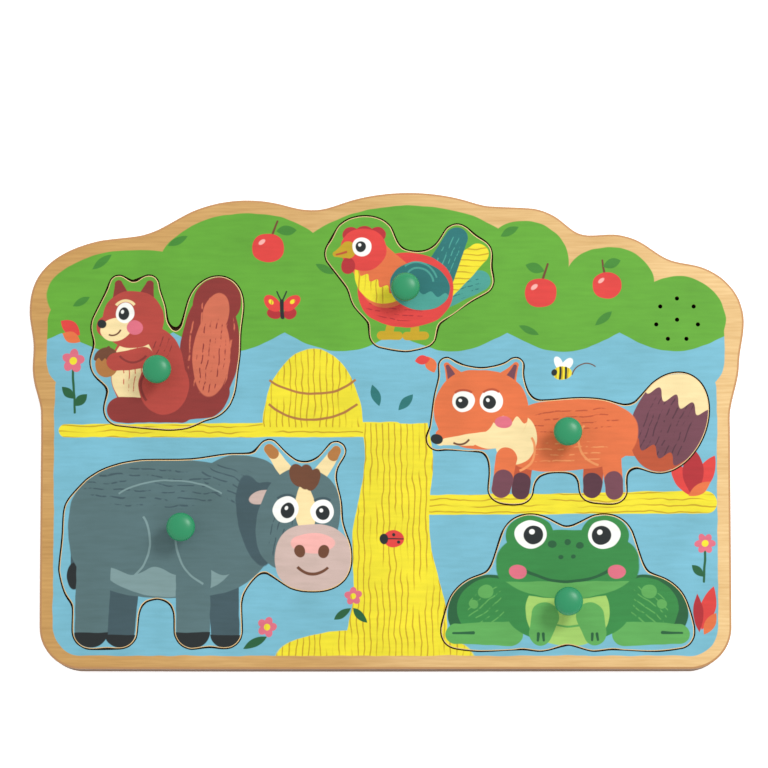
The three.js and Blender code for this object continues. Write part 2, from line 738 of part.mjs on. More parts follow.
function makeCircuit() {
  const shape = roundedRectangle(circuitLeft, circuitRight, circuitFront, circuitRear, circuitCorner);
  const holes = circuitScrewPlaces.map(({ x, y }) =>
    rod(x, y, smallScrewShank + seatGap, circuitBottom - cutOverrun, circuitTop + cutOverrun));
  addPart('circuit_board', cut(plate(shape, circuitBottom, circuitTop), holes), 0x1f6b45, 0.5);
  const chipX = circuitMiddle.x - circuitLength / 5;
  const dome = [[0, circuitBottom]];
  const domeSteps = 5;
  for (let i = 0; i <= domeSteps; i += 1) {
    const angle = (i / domeSteps) * (Math.PI / 2);
    dome.push([chipRadius * Math.cos(angle), circuitBottom - chipHeight * Math.sin(angle)]);
  }
  addPart('sound_chip', turned(dome.reverse(), chipX, circuitMiddle.y, holeSides), 0x15161a, 0.3);
  const capacitor = rod(circuitMiddle.x + circuitLength / 5, circuitMiddle.y, capacitorRadius,
    circuitBottom - capacitorHeight, circuitBottom);
  addPart('capacitor', capacitor, 0x26324a, 0.4);
}

function makeSpeaker() {
  const { x, y } = grilleCentre;
  const gasketBottom = spacerTop - gasketDepth;
  const innerRadius = speakerRadius - speakerRim;
  addPart('speaker_gasket', turned([
    [innerRadius, gasketBottom],
    [speakerRadius, gasketBottom],
    [speakerRadius, spacerTop],
    [innerRadius, spacerTop],
    [innerRadius, gasketBottom],
  ], x, y), 0x222222, 0.9);
  const rimBottom = gasketBottom - speakerRimDepth;
  const basketBottom = gasketBottom - speakerDepth;
  addPart('speaker_basket', turned([
    [0, basketBottom],
    [magnetRadius, basketBottom],
    [innerRadius, rimBottom],
    [speakerRadius, rimBottom],
    [speakerRadius, gasketBottom],
    [innerRadius, gasketBottom],
    [innerRadius - speakerSkin, rimBottom],
    [magnetRadius - speakerSkin, basketBottom + speakerSkin],
    [0, basketBottom + speakerSkin],
  ], x, y), steel, 0.4, 0.8);
  const coneEdge = innerRadius - speakerSkin;
  const coneTop = gasketBottom - seatGap / 2;
  addPart('speaker_cone', turned([
    [0, coneTop - coneHollow + coneSkin],
    [capRadius, coneTop - coneHollow - coneSkin],
    [coneEdge - coneSkin, coneTop - coneSkin],
    [coneEdge - coneSkin, coneTop],
    [capRadius, coneTop - coneHollow],
    [0, coneTop - coneHollow + 2 * coneSkin],
  ], x, y), 0x2a2a2c, 0.8);
  addPart('speaker_magnet', rod(x, y, magnetRadius, basketBottom - magnetDepth, basketBottom, roundSides), 0x6d7074, 0.4, 0.8);
}

// A lead: a round wire along a smooth path. Its ends are cut square.
function lead(points, radius = leadRadius) {
  const path = new THREE.CatmullRomCurve3(points, false, 'centripetal');
  const section = new THREE.Shape();
  section.absarc(0, 0, radius, 0, 2 * Math.PI);
  const steps = Math.ceil(path.getLength() / leadStep);
  return new THREE.ExtrudeGeometry(section, { steps, curveSegments: leadSegments, extrudePath: path });
}

const leadLevel = spacerTop - seatGap - leadRadius;

function makeSensorsAndLeads() {
  const pads = {
    ox: new THREE.Vector3(circuitLeft + leadEndInset, circuitMiddle.y - circuitWidth / 5, leadLevel),
    squirrel: new THREE.Vector3(circuitLeft + leadEndInset, circuitMiddle.y + circuitWidth / 5, leadLevel),
    frog: new THREE.Vector3(circuitRight - leadEndInset, circuitMiddle.y - circuitWidth / 8, leadLevel),
    fox: new THREE.Vector3(circuitRight - leadEndInset, circuitMiddle.y + circuitWidth / 8, leadLevel),
    rooster: new THREE.Vector3(circuitMiddle.x, circuitRear - leadEndInset, leadLevel),
  };
  for (const [name, { knob }] of Object.entries(animals)) {
    addPart(`${name}_light_sensor`, turned([
      [0, spacerTop - sensorFlangeDepth],
      [sensorFlangeRadius, spacerTop - sensorFlangeDepth],
      [sensorFlangeRadius, spacerTop],
      [sensorNoseRadius, spacerTop],
      [sensorNoseRadius, spacerTop + sensorNoseHeight],
      [0, spacerTop + sensorNoseHeight],
    ], knob.x, knob.y, holeSides), 0xc9a15a, 0.4);
    const pad = pads[name];
    const sensor = new THREE.Vector3(knob.x, knob.y, leadLevel);
    const away = pad.clone().sub(sensor).normalize();
    const start = sensor.clone().addScaledVector(away, sensorFlangeRadius + seatGap);
    const slack = new THREE.Vector3(-away.y, away.x, 0).multiplyScalar(sensorFlangeRadius);
    const third = start.clone().lerp(pad, 1 / 3).add(slack);
    const twoThirds = start.clone().lerp(pad, 2 / 3).addScaledVector(slack, 1 / 2);
    addPart(`${name}_sensor_lead`, lead([start, third, twoThirds, pad]), 0xd8d4cc, 0.6);
  }
  const speakerPad = new THREE.Vector3(circuitRight - leadEndInset, circuitRear - leadEndInset, leadLevel);
  const speakerMiddle = new THREE.Vector3(grilleCentre.x, grilleCentre.y, leadLevel);
  const towards = speakerPad.clone().sub(speakerMiddle).normalize();
  const speakerStart = speakerMiddle.clone().addScaledVector(towards, speakerRadius + seatGap);
  const speakerBend = speakerStart.clone().lerp(speakerPad, 1 / 2);
  speakerBend.y += speakerRadius / 3;
  addPart('speaker_lead', lead([speakerStart, speakerBend, speakerPad]), 0x3c3f44, 0.6);
  [['battery_lead_plus', 1, 0xb33a32], ['battery_lead_minus', -1, 0x222326]].forEach(([name, side, colour]) => {
    const x = boxMiddle.x + (side * bayWidth) / 4;
    const wall = bayRear + boxWall + seatGap;
    const route = [0, 0.1, 0.5, 0.9, 1].map((share) => new THREE.Vector3(
      x,
      THREE.MathUtils.lerp(wall, circuitFront, share),
      THREE.MathUtils.lerp(cellLevel, leadLevel, THREE.MathUtils.smoothstep(share, 0, 1)),
    ));
    route.push(new THREE.Vector3(x, circuitFront + leadEndInset, leadLevel));
    addPart(name, lead(route), colour, 0.5);
  });
}

// Two cells side by side, the second the other way round, each between a plate and a spring
function makeBatteries() {
  const bodyEnd = cellBodyLength / 2 - nubLength / 2;
  const cell = new THREE.LatheGeometry([
    new THREE.Vector2(0, -cellLength / 2),
    new THREE.Vector2(cellRadius, -cellLength / 2),
    new THREE.Vector2(cellRadius, bodyEnd),
    new THREE.Vector2(nubRadius, bodyEnd),
    new THREE.Vector2(nubRadius, cellLength / 2),
    new THREE.Vector2(0, cellLength / 2),
  ], roundSides).rotateZ(-Math.PI / 2);
  const coil = makeSpring();
  const nudge = (springLength - contactThickness) / 2;
  [-1, 1].forEach((side, i) => {
    const y = boxMiddle.y + side * (cellRadius + cellSpacing / 2);
    const turn = side > 0 ? Math.PI : 0;
    const place = (geometry, along) => geometry.clone().translate(along, 0, 0).rotateZ(turn).translate(boxMiddle.x, y, cellLevel);
    addPart(`battery_${i + 1}`, place(cell, nudge), 0xc98b2e, 0.35, 0.4);
    const contactX = bayLength / 2 - seatGap - contactThickness / 2;
    const contact = new THREE.BoxGeometry(contactThickness, contactSide, contactSide);
    addPart(`contact_plate_${i + 1}`, place(contact, contactX), steel, 0.3, 0.9);
    addPart(`contact_spring_${i + 1}`, place(coil, -bayLength / 2 + seatGap), steel, 0.3, 0.9);
  });
}

// A coil spring along +X from the origin, with square-cut ends
function makeSpring() {
  const rise = springLength - springWire;
  const turnPoints = 8;
  const points = [];
  for (let i = 0; i <= springTurns * turnPoints; i += 1) {
    const angle = (i * 2 * Math.PI) / turnPoints;
    const along = springWire / 2 + (rise * i) / (springTurns * turnPoints);
    points.push(new THREE.Vector3(along, springRadius * Math.cos(angle), springRadius * Math.sin(angle)));
  }
  const path = new THREE.CatmullRomCurve3(points);
  const section = new THREE.Shape();
  const wireSides = 5;
  for (let i = 0; i < wireSides; i += 1) {
    const angle = (i * 2 * Math.PI) / wireSides;
    const x = (springWire / 2) * Math.cos(angle);
    const y = (springWire / 2) * Math.sin(angle);
    if (i === 0) section.moveTo(x, y);
    else section.lineTo(x, y);
  }
  section.closePath();
  let leastGap = Infinity;
  points.forEach((a, i) => points.slice(i + turnPoints / 2).forEach((b) => {
    leastGap = Math.min(leastGap, a.distanceTo(b) - springWire);
  }));
  console.log(`contact spring: least gap between turns ${leastGap.toFixed(2)} mm`);
  return new THREE.ExtrudeGeometry(section, { steps: springTurns * turnPoints, extrudePath: path });
}

// A mushroom knob with a spigot that passes through its piece
function makeKnob(x, y) {
  const profile = new THREE.Path();
  const headTop = faceTop + knobHeight;
  const headWidest = headTop - knobHeadDepth * knobWidestShare;
  const [crownFlat, crownDrop] = knobCrownShares;
  const headUnder = headTop - knobHeadDepth;
  const baseTop = faceTop + knobBaseDepth;
  const spigotEnd = floorTop + knobSpigotShort;
  profile.moveTo(knobBaseRadius, baseTop);
  profile.bezierCurveTo(
    knobNeckRadius, baseTop, knobNeckRadius, baseTop + knobBaseRadius / 2,
    knobNeckRadius, (baseTop + headUnder) / 2,
  );
  profile.bezierCurveTo(
    knobNeckRadius, headUnder, knobHeadRadius, headUnder,
    knobHeadRadius, headWidest,
  );
  profile.bezierCurveTo(
    knobHeadRadius, headTop - knobHeadDepth * crownDrop, knobHeadRadius * crownFlat, headTop,
    0, headTop,
  );
  const curve = profile.getPoints(3).map((p) => [p.x, p.y]);
  const outline = [
    [0, spigotEnd],
    [knobSpigotRadius, spigotEnd],
    [knobSpigotRadius, faceTop],
    [knobBaseRadius, faceTop],
    ...curve,
  ];
  return turned(outline, x, y, roundSides);
}

function makePieces() {
  for (const [name, { pieceLine, knob, colour }] of Object.entries(animals)) {
    const blank = easedPlate(new THREE.Shape(pieceLine), floorTop, faceTop, pieceEase);
    const hole = rod(knob.x, knob.y, knobSpigotRadius + seatGap, floorTop - cutOverrun, faceTop + cutOverrun);
    addPart(`${name}_piece`, cut(blank, [hole]), colour, 0.45);
    addPart(`${name}_knob`, makeKnob(knob.x, knob.y), knobGreen, 0.2);
  }
}

makeFacePlate();
makeRecessFloor();
makeSpacerFrame();
makeBackPlate();
makeBatteryBox();
makeBatteryDoor();
makeScrews();
makeCircuit();
makeSpeaker();
makeSensorsAndLeads();
makeBatteries();
makePieces();

// The board's outline is centred on the origin
const bounds = new THREE.Box2().setFromPoints(outerLine);
const middle = bounds.getCenter(new THREE.Vector2());
group.position.set(-middle.x, -middle.y, 0);

export default group;
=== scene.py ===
from functools import reduce
import json
import math

import bmesh
import bpy
from mathutils import Matrix, Vector
from mathutils.geometry import interpolate_bezier

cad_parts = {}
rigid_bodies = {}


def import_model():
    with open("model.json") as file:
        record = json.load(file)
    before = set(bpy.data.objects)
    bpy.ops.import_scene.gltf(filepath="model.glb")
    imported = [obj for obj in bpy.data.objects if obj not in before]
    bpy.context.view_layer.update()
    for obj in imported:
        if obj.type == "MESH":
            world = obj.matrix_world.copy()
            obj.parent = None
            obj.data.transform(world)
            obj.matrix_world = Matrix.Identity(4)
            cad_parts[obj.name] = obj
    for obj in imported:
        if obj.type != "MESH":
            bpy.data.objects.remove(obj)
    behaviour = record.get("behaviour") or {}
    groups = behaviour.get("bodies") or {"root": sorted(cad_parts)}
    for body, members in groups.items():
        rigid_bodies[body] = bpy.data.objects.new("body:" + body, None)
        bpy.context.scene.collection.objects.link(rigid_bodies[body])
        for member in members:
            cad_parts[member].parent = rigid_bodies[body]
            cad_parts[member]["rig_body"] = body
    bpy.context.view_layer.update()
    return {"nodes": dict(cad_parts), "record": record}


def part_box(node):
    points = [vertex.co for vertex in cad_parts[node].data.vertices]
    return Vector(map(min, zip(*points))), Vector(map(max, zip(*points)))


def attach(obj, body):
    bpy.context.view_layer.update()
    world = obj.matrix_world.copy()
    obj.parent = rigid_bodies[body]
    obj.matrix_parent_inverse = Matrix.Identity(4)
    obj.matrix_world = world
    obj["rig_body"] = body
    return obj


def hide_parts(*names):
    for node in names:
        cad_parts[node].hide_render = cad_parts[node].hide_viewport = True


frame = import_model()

# A wooden sound puzzle: a flat box with a printed face, five knobbed animal pieces and a battery door.
# Places and sizes of new pieces are in millimetres, turned into metres by mm.
mm = 0.001
weldDistance = 1e-6
levelTolerance = 2e-5
levelNormal = 0.9999  # the least height of a level face's normal

nodes = frame["nodes"]
animalNames = ("ox", "squirrel", "frog", "fox", "rooster")


def nodeSpan(name):
    # the lowest and highest corner of a node, in mm
    low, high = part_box(name)
    return low / mm, high / mm


def nodeMiddle(name):
    low, high = nodeSpan(name)
    return (low + high) / 2


# Inks, as red, green and blue on a screen
inks = {
    "sky": (118, 183, 204),
    "leaf": (96, 166, 48),
    "leafDark": (62, 134, 44),
    "yellow": (238, 222, 40),
    "yellowDark": (196, 160, 20),
    "red": (222, 62, 58),
    "redDark": (178, 38, 46),
    "pink": (220, 108, 128),
    "pinkPale": (244, 178, 172),
    "orange": (226, 112, 62),
    "orangeDark": (188, 80, 44),
    "orangePale": (240, 150, 92),
    "purple": (113, 64, 78),
    "purpleDark": (82, 44, 58),
    "cream": (246, 222, 166),
    "white": (250, 250, 246),
    "ink": (24, 32, 34),
    "slate": (84, 112, 116),
    "slateDark": (60, 84, 92),
    "slatePale": (124, 152, 154),
    "muzzle": (206, 180, 172),
    "redbrown": (181, 66, 56),
    "redbrownDark": (138, 46, 42),
    "redbrownPale": (208, 108, 80),
    "nut": (176, 116, 58),
    "nutDark": (108, 64, 40),
    "green": (48, 134, 64),
    "greenDark": (28, 92, 52),
    "greenPale": (92, 168, 84),
    "lime": (164, 206, 104),
    "teal": (31, 112, 112),
    "tealPale": (70, 158, 146),
}


def linear(colour):
    # a colour of 0 to 255 on a screen, as scene values, by the formula for screens
    parts = [c / 255 for c in colour]
    return [c / 12.92 if c < 0.04 else ((c + 0.055) / 1.055) ** 2.4 for c in parts] + [1]


softShine = 0.3  # of varnish, board and most plastics


# A value in a material. Sums on it add Math nodes.
class Wire:
    def __init__(self, finish, socket):
        self.finish = finish
        self.socket = socket

    def math(self, operation, *values, clamp=False):
        inputs = dict(enumerate(values))
        return self.finish.node("Math", {"operation": operation, "use_clamp": clamp}, inputs)

    def __add__(self, other):
        return self.math("ADD", self, other)

    __radd__ = __add__

    def __sub__(self, other):
        return self.math("SUBTRACT", self, other)

    def __rsub__(self, other):
        return self.math("SUBTRACT", other, self)

    def __mul__(self, other):
        return self.math("MULTIPLY", self, other)

    __rmul__ = __mul__

    def __pow__(self, other):
        return self.math("POWER", self, other)

    def __abs__(self):
        return self.math("ABSOLUTE", self)

    def sine(self):
        return self.math("SINE", self)

    def orMore(self, other):
        return self.math("MAXIMUM", self, other)

    # How far from the middle a place is, along this value and another
    def length(self, other):
        squares = self.math("MULTIPLY_ADD", other, other, self * self)
        return squares.math("SQRT", squares)

    # The direction in which a place lies, along another value and this one
    def direction(self, other):
        return self.math("ARCTAN2", self, other)

    # gain times the value plus shift, kept between 0 and 1
    def ramp(self, gain, shift):
        return self.math("MULTIPLY_ADD", self, gain, shift, clamp=True)


class Finish:
    def __init__(self, name):
        self.material = bpy.data.materials.new(name)
        self.material.use_nodes = True
        self.tree = self.material.node_tree
        self.tree.nodes.clear()
        place = self.node("TexCoord", output="Object")
        self.spot = self.node("VectorMath", {"operation": "SCALE"}, {0: place, "Scale": 1 / mm})

    # Any node: its type, its settings, and the values or wires of its sockets
    def node(self, kind, settings=None, inputs=None, output=0):
        made = self.tree.nodes.new("ShaderNode" + kind)
        for key, value in (settings or {}).items():
            setattr(made, key, value)
        for key, value in (inputs or {}).items():
            if isinstance(value, Wire):
                self.tree.links.new(value.socket, made.inputs[key])
            else:
                made.inputs[key].default_value = value
        return Wire(self, made.outputs[output])

    # A mix of two wires or colours of 0 to 255
    def mix(self, share, low, high, blend="MIX"):
        low, high = [colour if isinstance(colour, Wire) else linear(colour) for colour in (low, high)]
        return self.node("Mix", {"data_type": "RGBA", "blend_type": blend}, {0: share, 6: low, 7: high}, 2)

    # The place along X, Y or Z in mm, or that part of another vector
    def part(self, axis, vector=None):
        return self.node("SeparateXYZ", None, {0: vector or self.spot}, axis)

    # Smooth noise from 0 to 1 with blotches of about size mm, drawn out along an axis by stretch
    def noise(self, size, detail=2, stretch=(1, 1, 1), output="Fac"):
        scale = [1 / (size * share) for share in stretch]
        scaled = self.node("Mapping", None, {"Vector": self.spot, "Scale": scale})
        return self.node("TexNoise", None, {"Vector": scaled, "Scale": 1, "Detail": detail}, output)

    # Fixed values go straight into the shader's sockets
    def surface(self, colour, roughness, bump=None, bumpHeight=0, shine=softShine, fixed=None):
        inputs = {"Base Color": colour, "Roughness": roughness, "Specular IOR Level": shine}
        if bump is not None:
            height = {"Height": bump, "Strength": 1, "Distance": bumpHeight * mm}
            inputs["Normal"] = self.node("Bump", None, height)
        inputs.update(fixed or {})
        shader = self.node("BsdfPrincipled", None, inputs)
        out = self.tree.nodes.new("ShaderNodeOutputMaterial")
        self.tree.links.new(shader.socket, out.inputs["Surface"])
        return self.material


# How the print is drawn, in mm. A cut is a gain and a shift that make a mask of a wave or of noise.
brush = {
    "edge": 0.3,  # how soft a printed edge is
    "stray": 1.2,  # how far a drawn line strays
    "strayLength": 9,
    "bend": 8,  # how far the lines of hatches and straw bend, in radians of their wave
    "bendLength": 12,
    "lineCut": (3, -1.9),
    "breakCut": (9, -3.8),
    "teeth": 0.1,  # of a cap's half-height
    "petalDepth": 0.34,
    "strawSpacing": 2.6,
    "strawBreak": 7,
    "strawStretch": 3,
    "strawCut": (8, -2.8),
    "streak": 1.6,
    "streakStretch": 7,
    "streakShare": 0.5,
    "blotch": 22,
    "blotchShare": 0.6,
    "paleCut": (2.2, -0.7),
    "darker": (228, 230, 226),
}


# Forms of the print. Each gives a mask that is 1 inside. Sizes in mm.
class Print(Finish):
    def __init__(self, name):
        super().__init__(name)
        stray = brush["stray"]
        flat = {0: self.spot, 1: (1, 1, 0), 2: (-stray / 2, -stray / 2, 1)}
        flat = self.node("VectorMath", {"operation": "MULTIPLY_ADD"}, flat)
        strayed = self.noise(brush["strayLength"], 1, output="Color")
        strayed = {0: strayed, 1: (stray, stray, 0), 2: flat}
        self.brushed = self.node("VectorMath", {"operation": "MULTIPLY_ADD"}, strayed)
        self.bend = self.noise(brush["bendLength"], 2) * brush["bend"]
        self.colour = inks["sky"]

    # The coordinate from a place along a tilted axis, as a share of a size. The dot product adds its fixed
    # part too, as brushed is 1 along its third axis.
    def along(self, x, y, tilt=0, size=1):
        right, up = math.cos(math.radians(tilt)) / size, math.sin(math.radians(tilt)) / size
        inputs = {0: self.brushed, 1: (right, up, -(x * right + y * up))}
        return self.node("VectorMath", {"operation": "DOT_PRODUCT"}, inputs, "Value")

    # The coordinates along a form's own axes, as shares of its half-width and its half-height
    def local(self, x, y, tilt=0, width=1, height=1):
        return self.along(x, y, tilt, width), self.along(x, y, tilt + 90, height)

    # Masks of where a value is below or above a level, for values that are shares of a size
    def below(self, value, level, size=1):
        steep = size / brush["edge"]
        return value.ramp(-steep, steep * level + 0.5)

    def above(self, value, level, size=1):
        steep = size / brush["edge"]
        return value.ramp(steep, 0.5 - steep * level)

    def oval(self, x, y, width, height, tilt=0, squareness=2):
        u, v = self.local(x, y, tilt, width, height)
        if squareness == 2:
            reach = u.length(v)
        else:
            reach = (abs(u) ** squareness + abs(v) ** squareness) ** (1 / squareness)
        return self.below(reach, 1, min(width, height))

    # The upper part of an oval, from a share of its half-height on, with a toothed lower edge
    def cap(self, x, y, width, height, tilt=0, level=0, teeth=0):
        u, v = self.local(x, y, tilt, width, height)
        inside = self.below(u.length(v), 1, min(width, height))
        if teeth:
            v = v + (u * (teeth * math.pi)).sine() * brush["teeth"]
        return inside * self.above(v, level, min(width, height))

    # Wavy lines a spacing apart, along or across the axis of the tilt
    def lines(self, x, y, tilt, spacing):
        wave = self.along(x, y, tilt) * (2 * math.pi / spacing) + self.bend
        return wave.sine().ramp(*brush["lineCut"])

    # Short wavy lines along an oval, with breaks between them
    def hatch(self, x, y, width, height, tilt, spacing):
        breaks = self.noise(spacing, 1).ramp(*brush["breakCut"])
        return self.oval(x, y, width, height, tilt) * self.lines(x, y, tilt + 90, spacing) * breaks

    # A round-ended stroke whose radius changes along it
    def stroke(self, x1, y1, x2, y2, startRadius, endRadius):
        length = math.hypot(x2 - x1, y2 - y1)
        u, v = self.local(x1, y1, math.degrees(math.atan2(y2 - y1, x2 - x1)))
        share = u.ramp(1 / length, 0)
        off = (share * -length + u).length(v)
        return self.above(share * (endRadius - startRadius) + startRadius - off, 0)

    # A pointed leaf from one tip to the other
    def leaf(self, x1, y1, x2, y2, width):
        half = math.hypot(x2 - x1, y2 - y1) / 2
        tilt = math.degrees(math.atan2(y2 - y1, x2 - x1))
        u, v = self.local((x1 + x2) / 2, (y1 + y2) / 2, tilt, half, width)
        return self.above(1 - u * u - abs(v), 0, width)

    # A flower with round petals
    def flower(self, x, y, radius, petals, tilt=0):
        u, v = self.local(x, y, tilt, radius, radius)
        turn = v.direction(u) * (petals / 2)
        lobe = abs(turn.math("COSINE", turn))
        depth = brush["petalDepth"]
        return self.above(lobe * depth + (1 - depth) - u.length(v), 0, radius)

    # Part of a circle's line, to each side of an angle
    def arc(self, x, y, radius, middle, span, width):
        u, v = self.local(x, y, middle)
        line = self.below(abs(u.length(v) - radius), width)
        return line * self.below(abs(v.direction(u)), math.radians(span), radius)

    def roundedBox(self, x, y, width, height, radius):
        u, v = self.local(x, y)
        past = (abs(u) - (width - radius)).orMore(0).length((abs(v) - (height - radius)).orMore(0))
        return self.below(past, radius)

    # All above a level, with round bumps hanging from it
    def scallop(self, level, depth, width, shift):
        u, v = self.local(shift, level)
        return self.above(abs((u * (math.pi / width)).sine()) * depth + v, 0)

    # A winding path between two levels that grows wider towards its lower end
    def path(self, x, halfWidth, bottom, top, sway, wave, flare):
        u, v = self.local(x, top)
        down = v.ramp(1 / (bottom - top), 0)
        off = abs((v * (2 * math.pi / wave)).sine() * sway + u)
        return self.above(down * down * (halfWidth * flare) + halfWidth - off, 0) * self.below(v, 0)

    # Straw has stalks drawn in it, across the board or up it
    def straw(self, across):
        stretch = (brush["strawStretch"], 1, 1) if across else (1, brush["strawStretch"], 1)
        breaks = self.noise(brush["strawBreak"], 1, stretch).ramp(*brush["strawCut"])
        return self.lines(0, 0, 90 if across else 180, brush["strawSpacing"]) * breaks

    def paint(self, ink, mask):
        self.colour = self.mix(mask, self.colour, inks[ink])

    # One form of a picture: its ink, its name and its values
    def draw(self, ink, form, values):
        mask = getattr(self, form)(*values)
        self.paint(ink, mask)
        if ink == "yellow":
            across = form == "stroke" and abs(values[0] - values[2]) > abs(values[1] - values[3])
            self.paint("yellowDark", mask * self.straw(across))

    # The dry brush: streaks and blotches a little darker than the ink
    def brushwork(self):
        streaks = self.noise(brush["streak"], 4, (brush["streakStretch"], 1, 1)) * brush["streakShare"]
        blotches = self.noise(brush["blotch"], 3) * brush["blotchShare"]
        return self.mix((streaks + blotches).ramp(*brush["paleCut"]), brush["darker"], (255, 255, 255))


# The drawings of the animals. A row is an ink, a form and the values of each place where it is drawn.
# Places are shares of the drawing's length and height, and so are the half-widths and half-heights of
# ovals, caps and hatches. Strokes, leaves and arcs are sized in shares of the height.
drawings = {}
drawings["ox"] = {"length": 122, "height": 86, "knob": (0.4, 0.56), "rows": [
    ("slateDark", "stroke", (0.2, 0.3, 0.19, 0.06, 0.062, 0.056), (0.54, 0.3, 0.55, 0.06, 0.062, 0.056)),
    ("ink", "cap", (0.19, 0.05, 0.042, 0.055, 180, 0.1), (0.55, 0.05, 0.042, 0.055, 180, 0.1)),
    ("slateDark", "stroke", (0.045, 0.64, 0.032, 0.38, 0.022, 0.016)),
    ("ink", "oval", (0.03, 0.33, 0.02, 0.06)),
    ("slate", "oval", (0.36, 0.56, 0.335, 0.315, 0, 2.6), (0.6, 0.68, 0.17, 0.22)),
    ("slateDark", "hatch", (0.3, 0.76, 0.24, 0.1, -2, 3), (0.58, 0.78, 0.12, 0.09, -24, 3)),
    ("slatePale", "cap", (0.35, 0.42, 0.22, 0.17, 180, 0.35, 3)),
    ("slate", "stroke", (0.1, 0.42, 0.09, 0.065, 0.068, 0.064), (0.44, 0.34, 0.44, 0.065, 0.068, 0.064)),
    ("ink", "cap", (0.09, 0.055, 0.047, 0.06, 180, 0), (0.44, 0.055, 0.047, 0.06, 180, 0)),
    ("slatePale", "arc", (0.13, 0.5, 0.23, -16, 48, 0.005), (0.56, 0.52, 0.26, 200, 42, 0.005),
     (0.36, 0.3, 0.5, 90, 30, 0.004)),
    ("slateDark", "oval", (0.65, 0.6, 0.045, 0.21, 12), (0.67, 0.72, 0.06, 0.05, 20)),
    ("muzzle", "oval", (0.672, 0.715, 0.038, 0.026, 20)),
    ("cream", "stroke", (0.77, 0.82, 0.7, 0.95, 0.03, 0.02), (0.86, 0.8, 0.93, 0.94, 0.03, 0.02)),
    ("nut", "stroke", (0.712, 0.93, 0.7, 0.95, 0.023, 0.02), (0.92, 0.92, 0.93, 0.94, 0.023, 0.02)),
    ("slate", "oval", (0.8, 0.6, 0.125, 0.235, -14, 2.3)),
    ("slateDark", "hatch", (0.745, 0.56, 0.1, 0.06, 78, 2.6)),
    ("cream", "leaf", (0.815, 0.8, 0.835, 0.5, 0.05)),
    ("muzzle", "oval", (0.85, 0.42, 0.115, 0.14, 0, 2.4)),
    ("pinkPale", "oval", (0.85, 0.49, 0.07, 0.04)),
    ("nutDark", "oval", (0.805, 0.45, 0.015, 0.026, 20), (0.89, 0.45, 0.015, 0.026, -20)),
    ("nutDark", "arc", (0.85, 0.44, 0.1, -90, 48, 0.007)),
    ("white", "oval", (0.757, 0.655, 0.036, 0.052), (0.883, 0.645, 0.032, 0.048)),
    ("ink", "oval", (0.764, 0.65, 0.02, 0.031), (0.885, 0.64, 0.019, 0.03)),
    ("white", "oval", (0.759, 0.662, 0.005, 0.008), (0.88, 0.652, 0.005, 0.008)),
    ("slateDark", "arc", (0.757, 0.65, 0.075, 90, 36, 0.006), (0.883, 0.64, 0.07, 90, 36, 0.006)),
    ("nutDark", "oval", (0.8, 0.82, 0.022, 0.05, 20), (0.825, 0.815, 0.02, 0.055, -6),
     (0.85, 0.8, 0.018, 0.05, -24)),
]}
drawings["squirrel"] = {"length": 62, "height": 60, "knob": (0.46, 0.34), "rows": [
    ("redbrownDark", "stroke", (0.56, 0.12, 0.76, 0.2, 0.11, 0.16)),
    ("redbrownDark", "oval", (0.81, 0.5, 0.17, 0.36, -4, 2.1), (0.86, 0.83, 0.13, 0.15, -20)),
    ("redbrownPale", "oval", (0.82, 0.46, 0.1, 0.27, -4), (0.85, 0.74, 0.07, 0.14, -14)),
    ("redbrownDark", "hatch", (0.82, 0.46, 0.26, 0.1, 84, 2.4)),
    ("redbrownPale", "hatch", (0.82, 0.52, 0.34, 0.17, 84, 3.4)),
    ("redbrown", "oval", (0.39, 0.34, 0.22, 0.29, 0, 2.1)),
    ("redbrownDark", "hatch", (0.47, 0.46, 0.13, 0.08, 70, 2.2)),
    ("cream", "oval", (0.29, 0.35, 0.115, 0.21, -6)),
    ("redbrownPale", "hatch", (0.29, 0.36, 0.16, 0.08, 84, 2.4)),
    ("redbrownDark", "stroke", (0.2, 0.07, 0.62, 0.07, 0.07, 0.07)),
    ("redbrown", "oval", (0.5, 0.24, 0.14, 0.17)),
    ("redbrownDark", "arc", (0.5, 0.24, 0.16, 150, 70, 0.009)),
    ("redbrownDark", "stroke", (0.21, 0.84, 0.19, 0.96, 0.055, 0.022),
     (0.37, 0.84, 0.4, 0.96, 0.055, 0.022)),
    ("redbrown", "oval", (0.29, 0.71, 0.18, 0.17, 0, 2.1)),
    ("redbrown", "stroke", (0.16, 0.68, 0.11, 0.66, 0.09, 0.06)),
    ("cream", "oval", (0.17, 0.64, 0.09, 0.065, 8)),
    ("cream", "arc", (0.235, 0.755, 0.085, 90, 50, 0.01)),
    ("pink", "oval", (0.3, 0.65, 0.045, 0.04)),
    ("ink", "oval", (0.075, 0.68, 0.026, 0.024)),
    ("nutDark", "arc", (0.15, 0.66, 0.06, -70, 50, 0.006)),
    ("white", "oval", (0.235, 0.755, 0.05, 0.058)),
    ("ink", "oval", (0.228, 0.75, 0.029, 0.036)),
    ("white", "oval", (0.218, 0.764, 0.009, 0.01)),
    ("nut", "oval", (0.11, 0.39, 0.062, 0.072)),
    ("nutDark", "cap", (0.11, 0.41, 0.07, 0.09, 0, 0.15, 4)),
    ("nutDark", "stroke", (0.11, 0.5, 0.12, 0.515, 0.012, 0.01)),
    ("redbrown", "stroke", (0.36, 0.44, 0.17, 0.41, 0.06, 0.05)),
    ("redbrownDark", "arc", (0.29, 0.53, 0.12, -90, 50, 0.008)),
]}
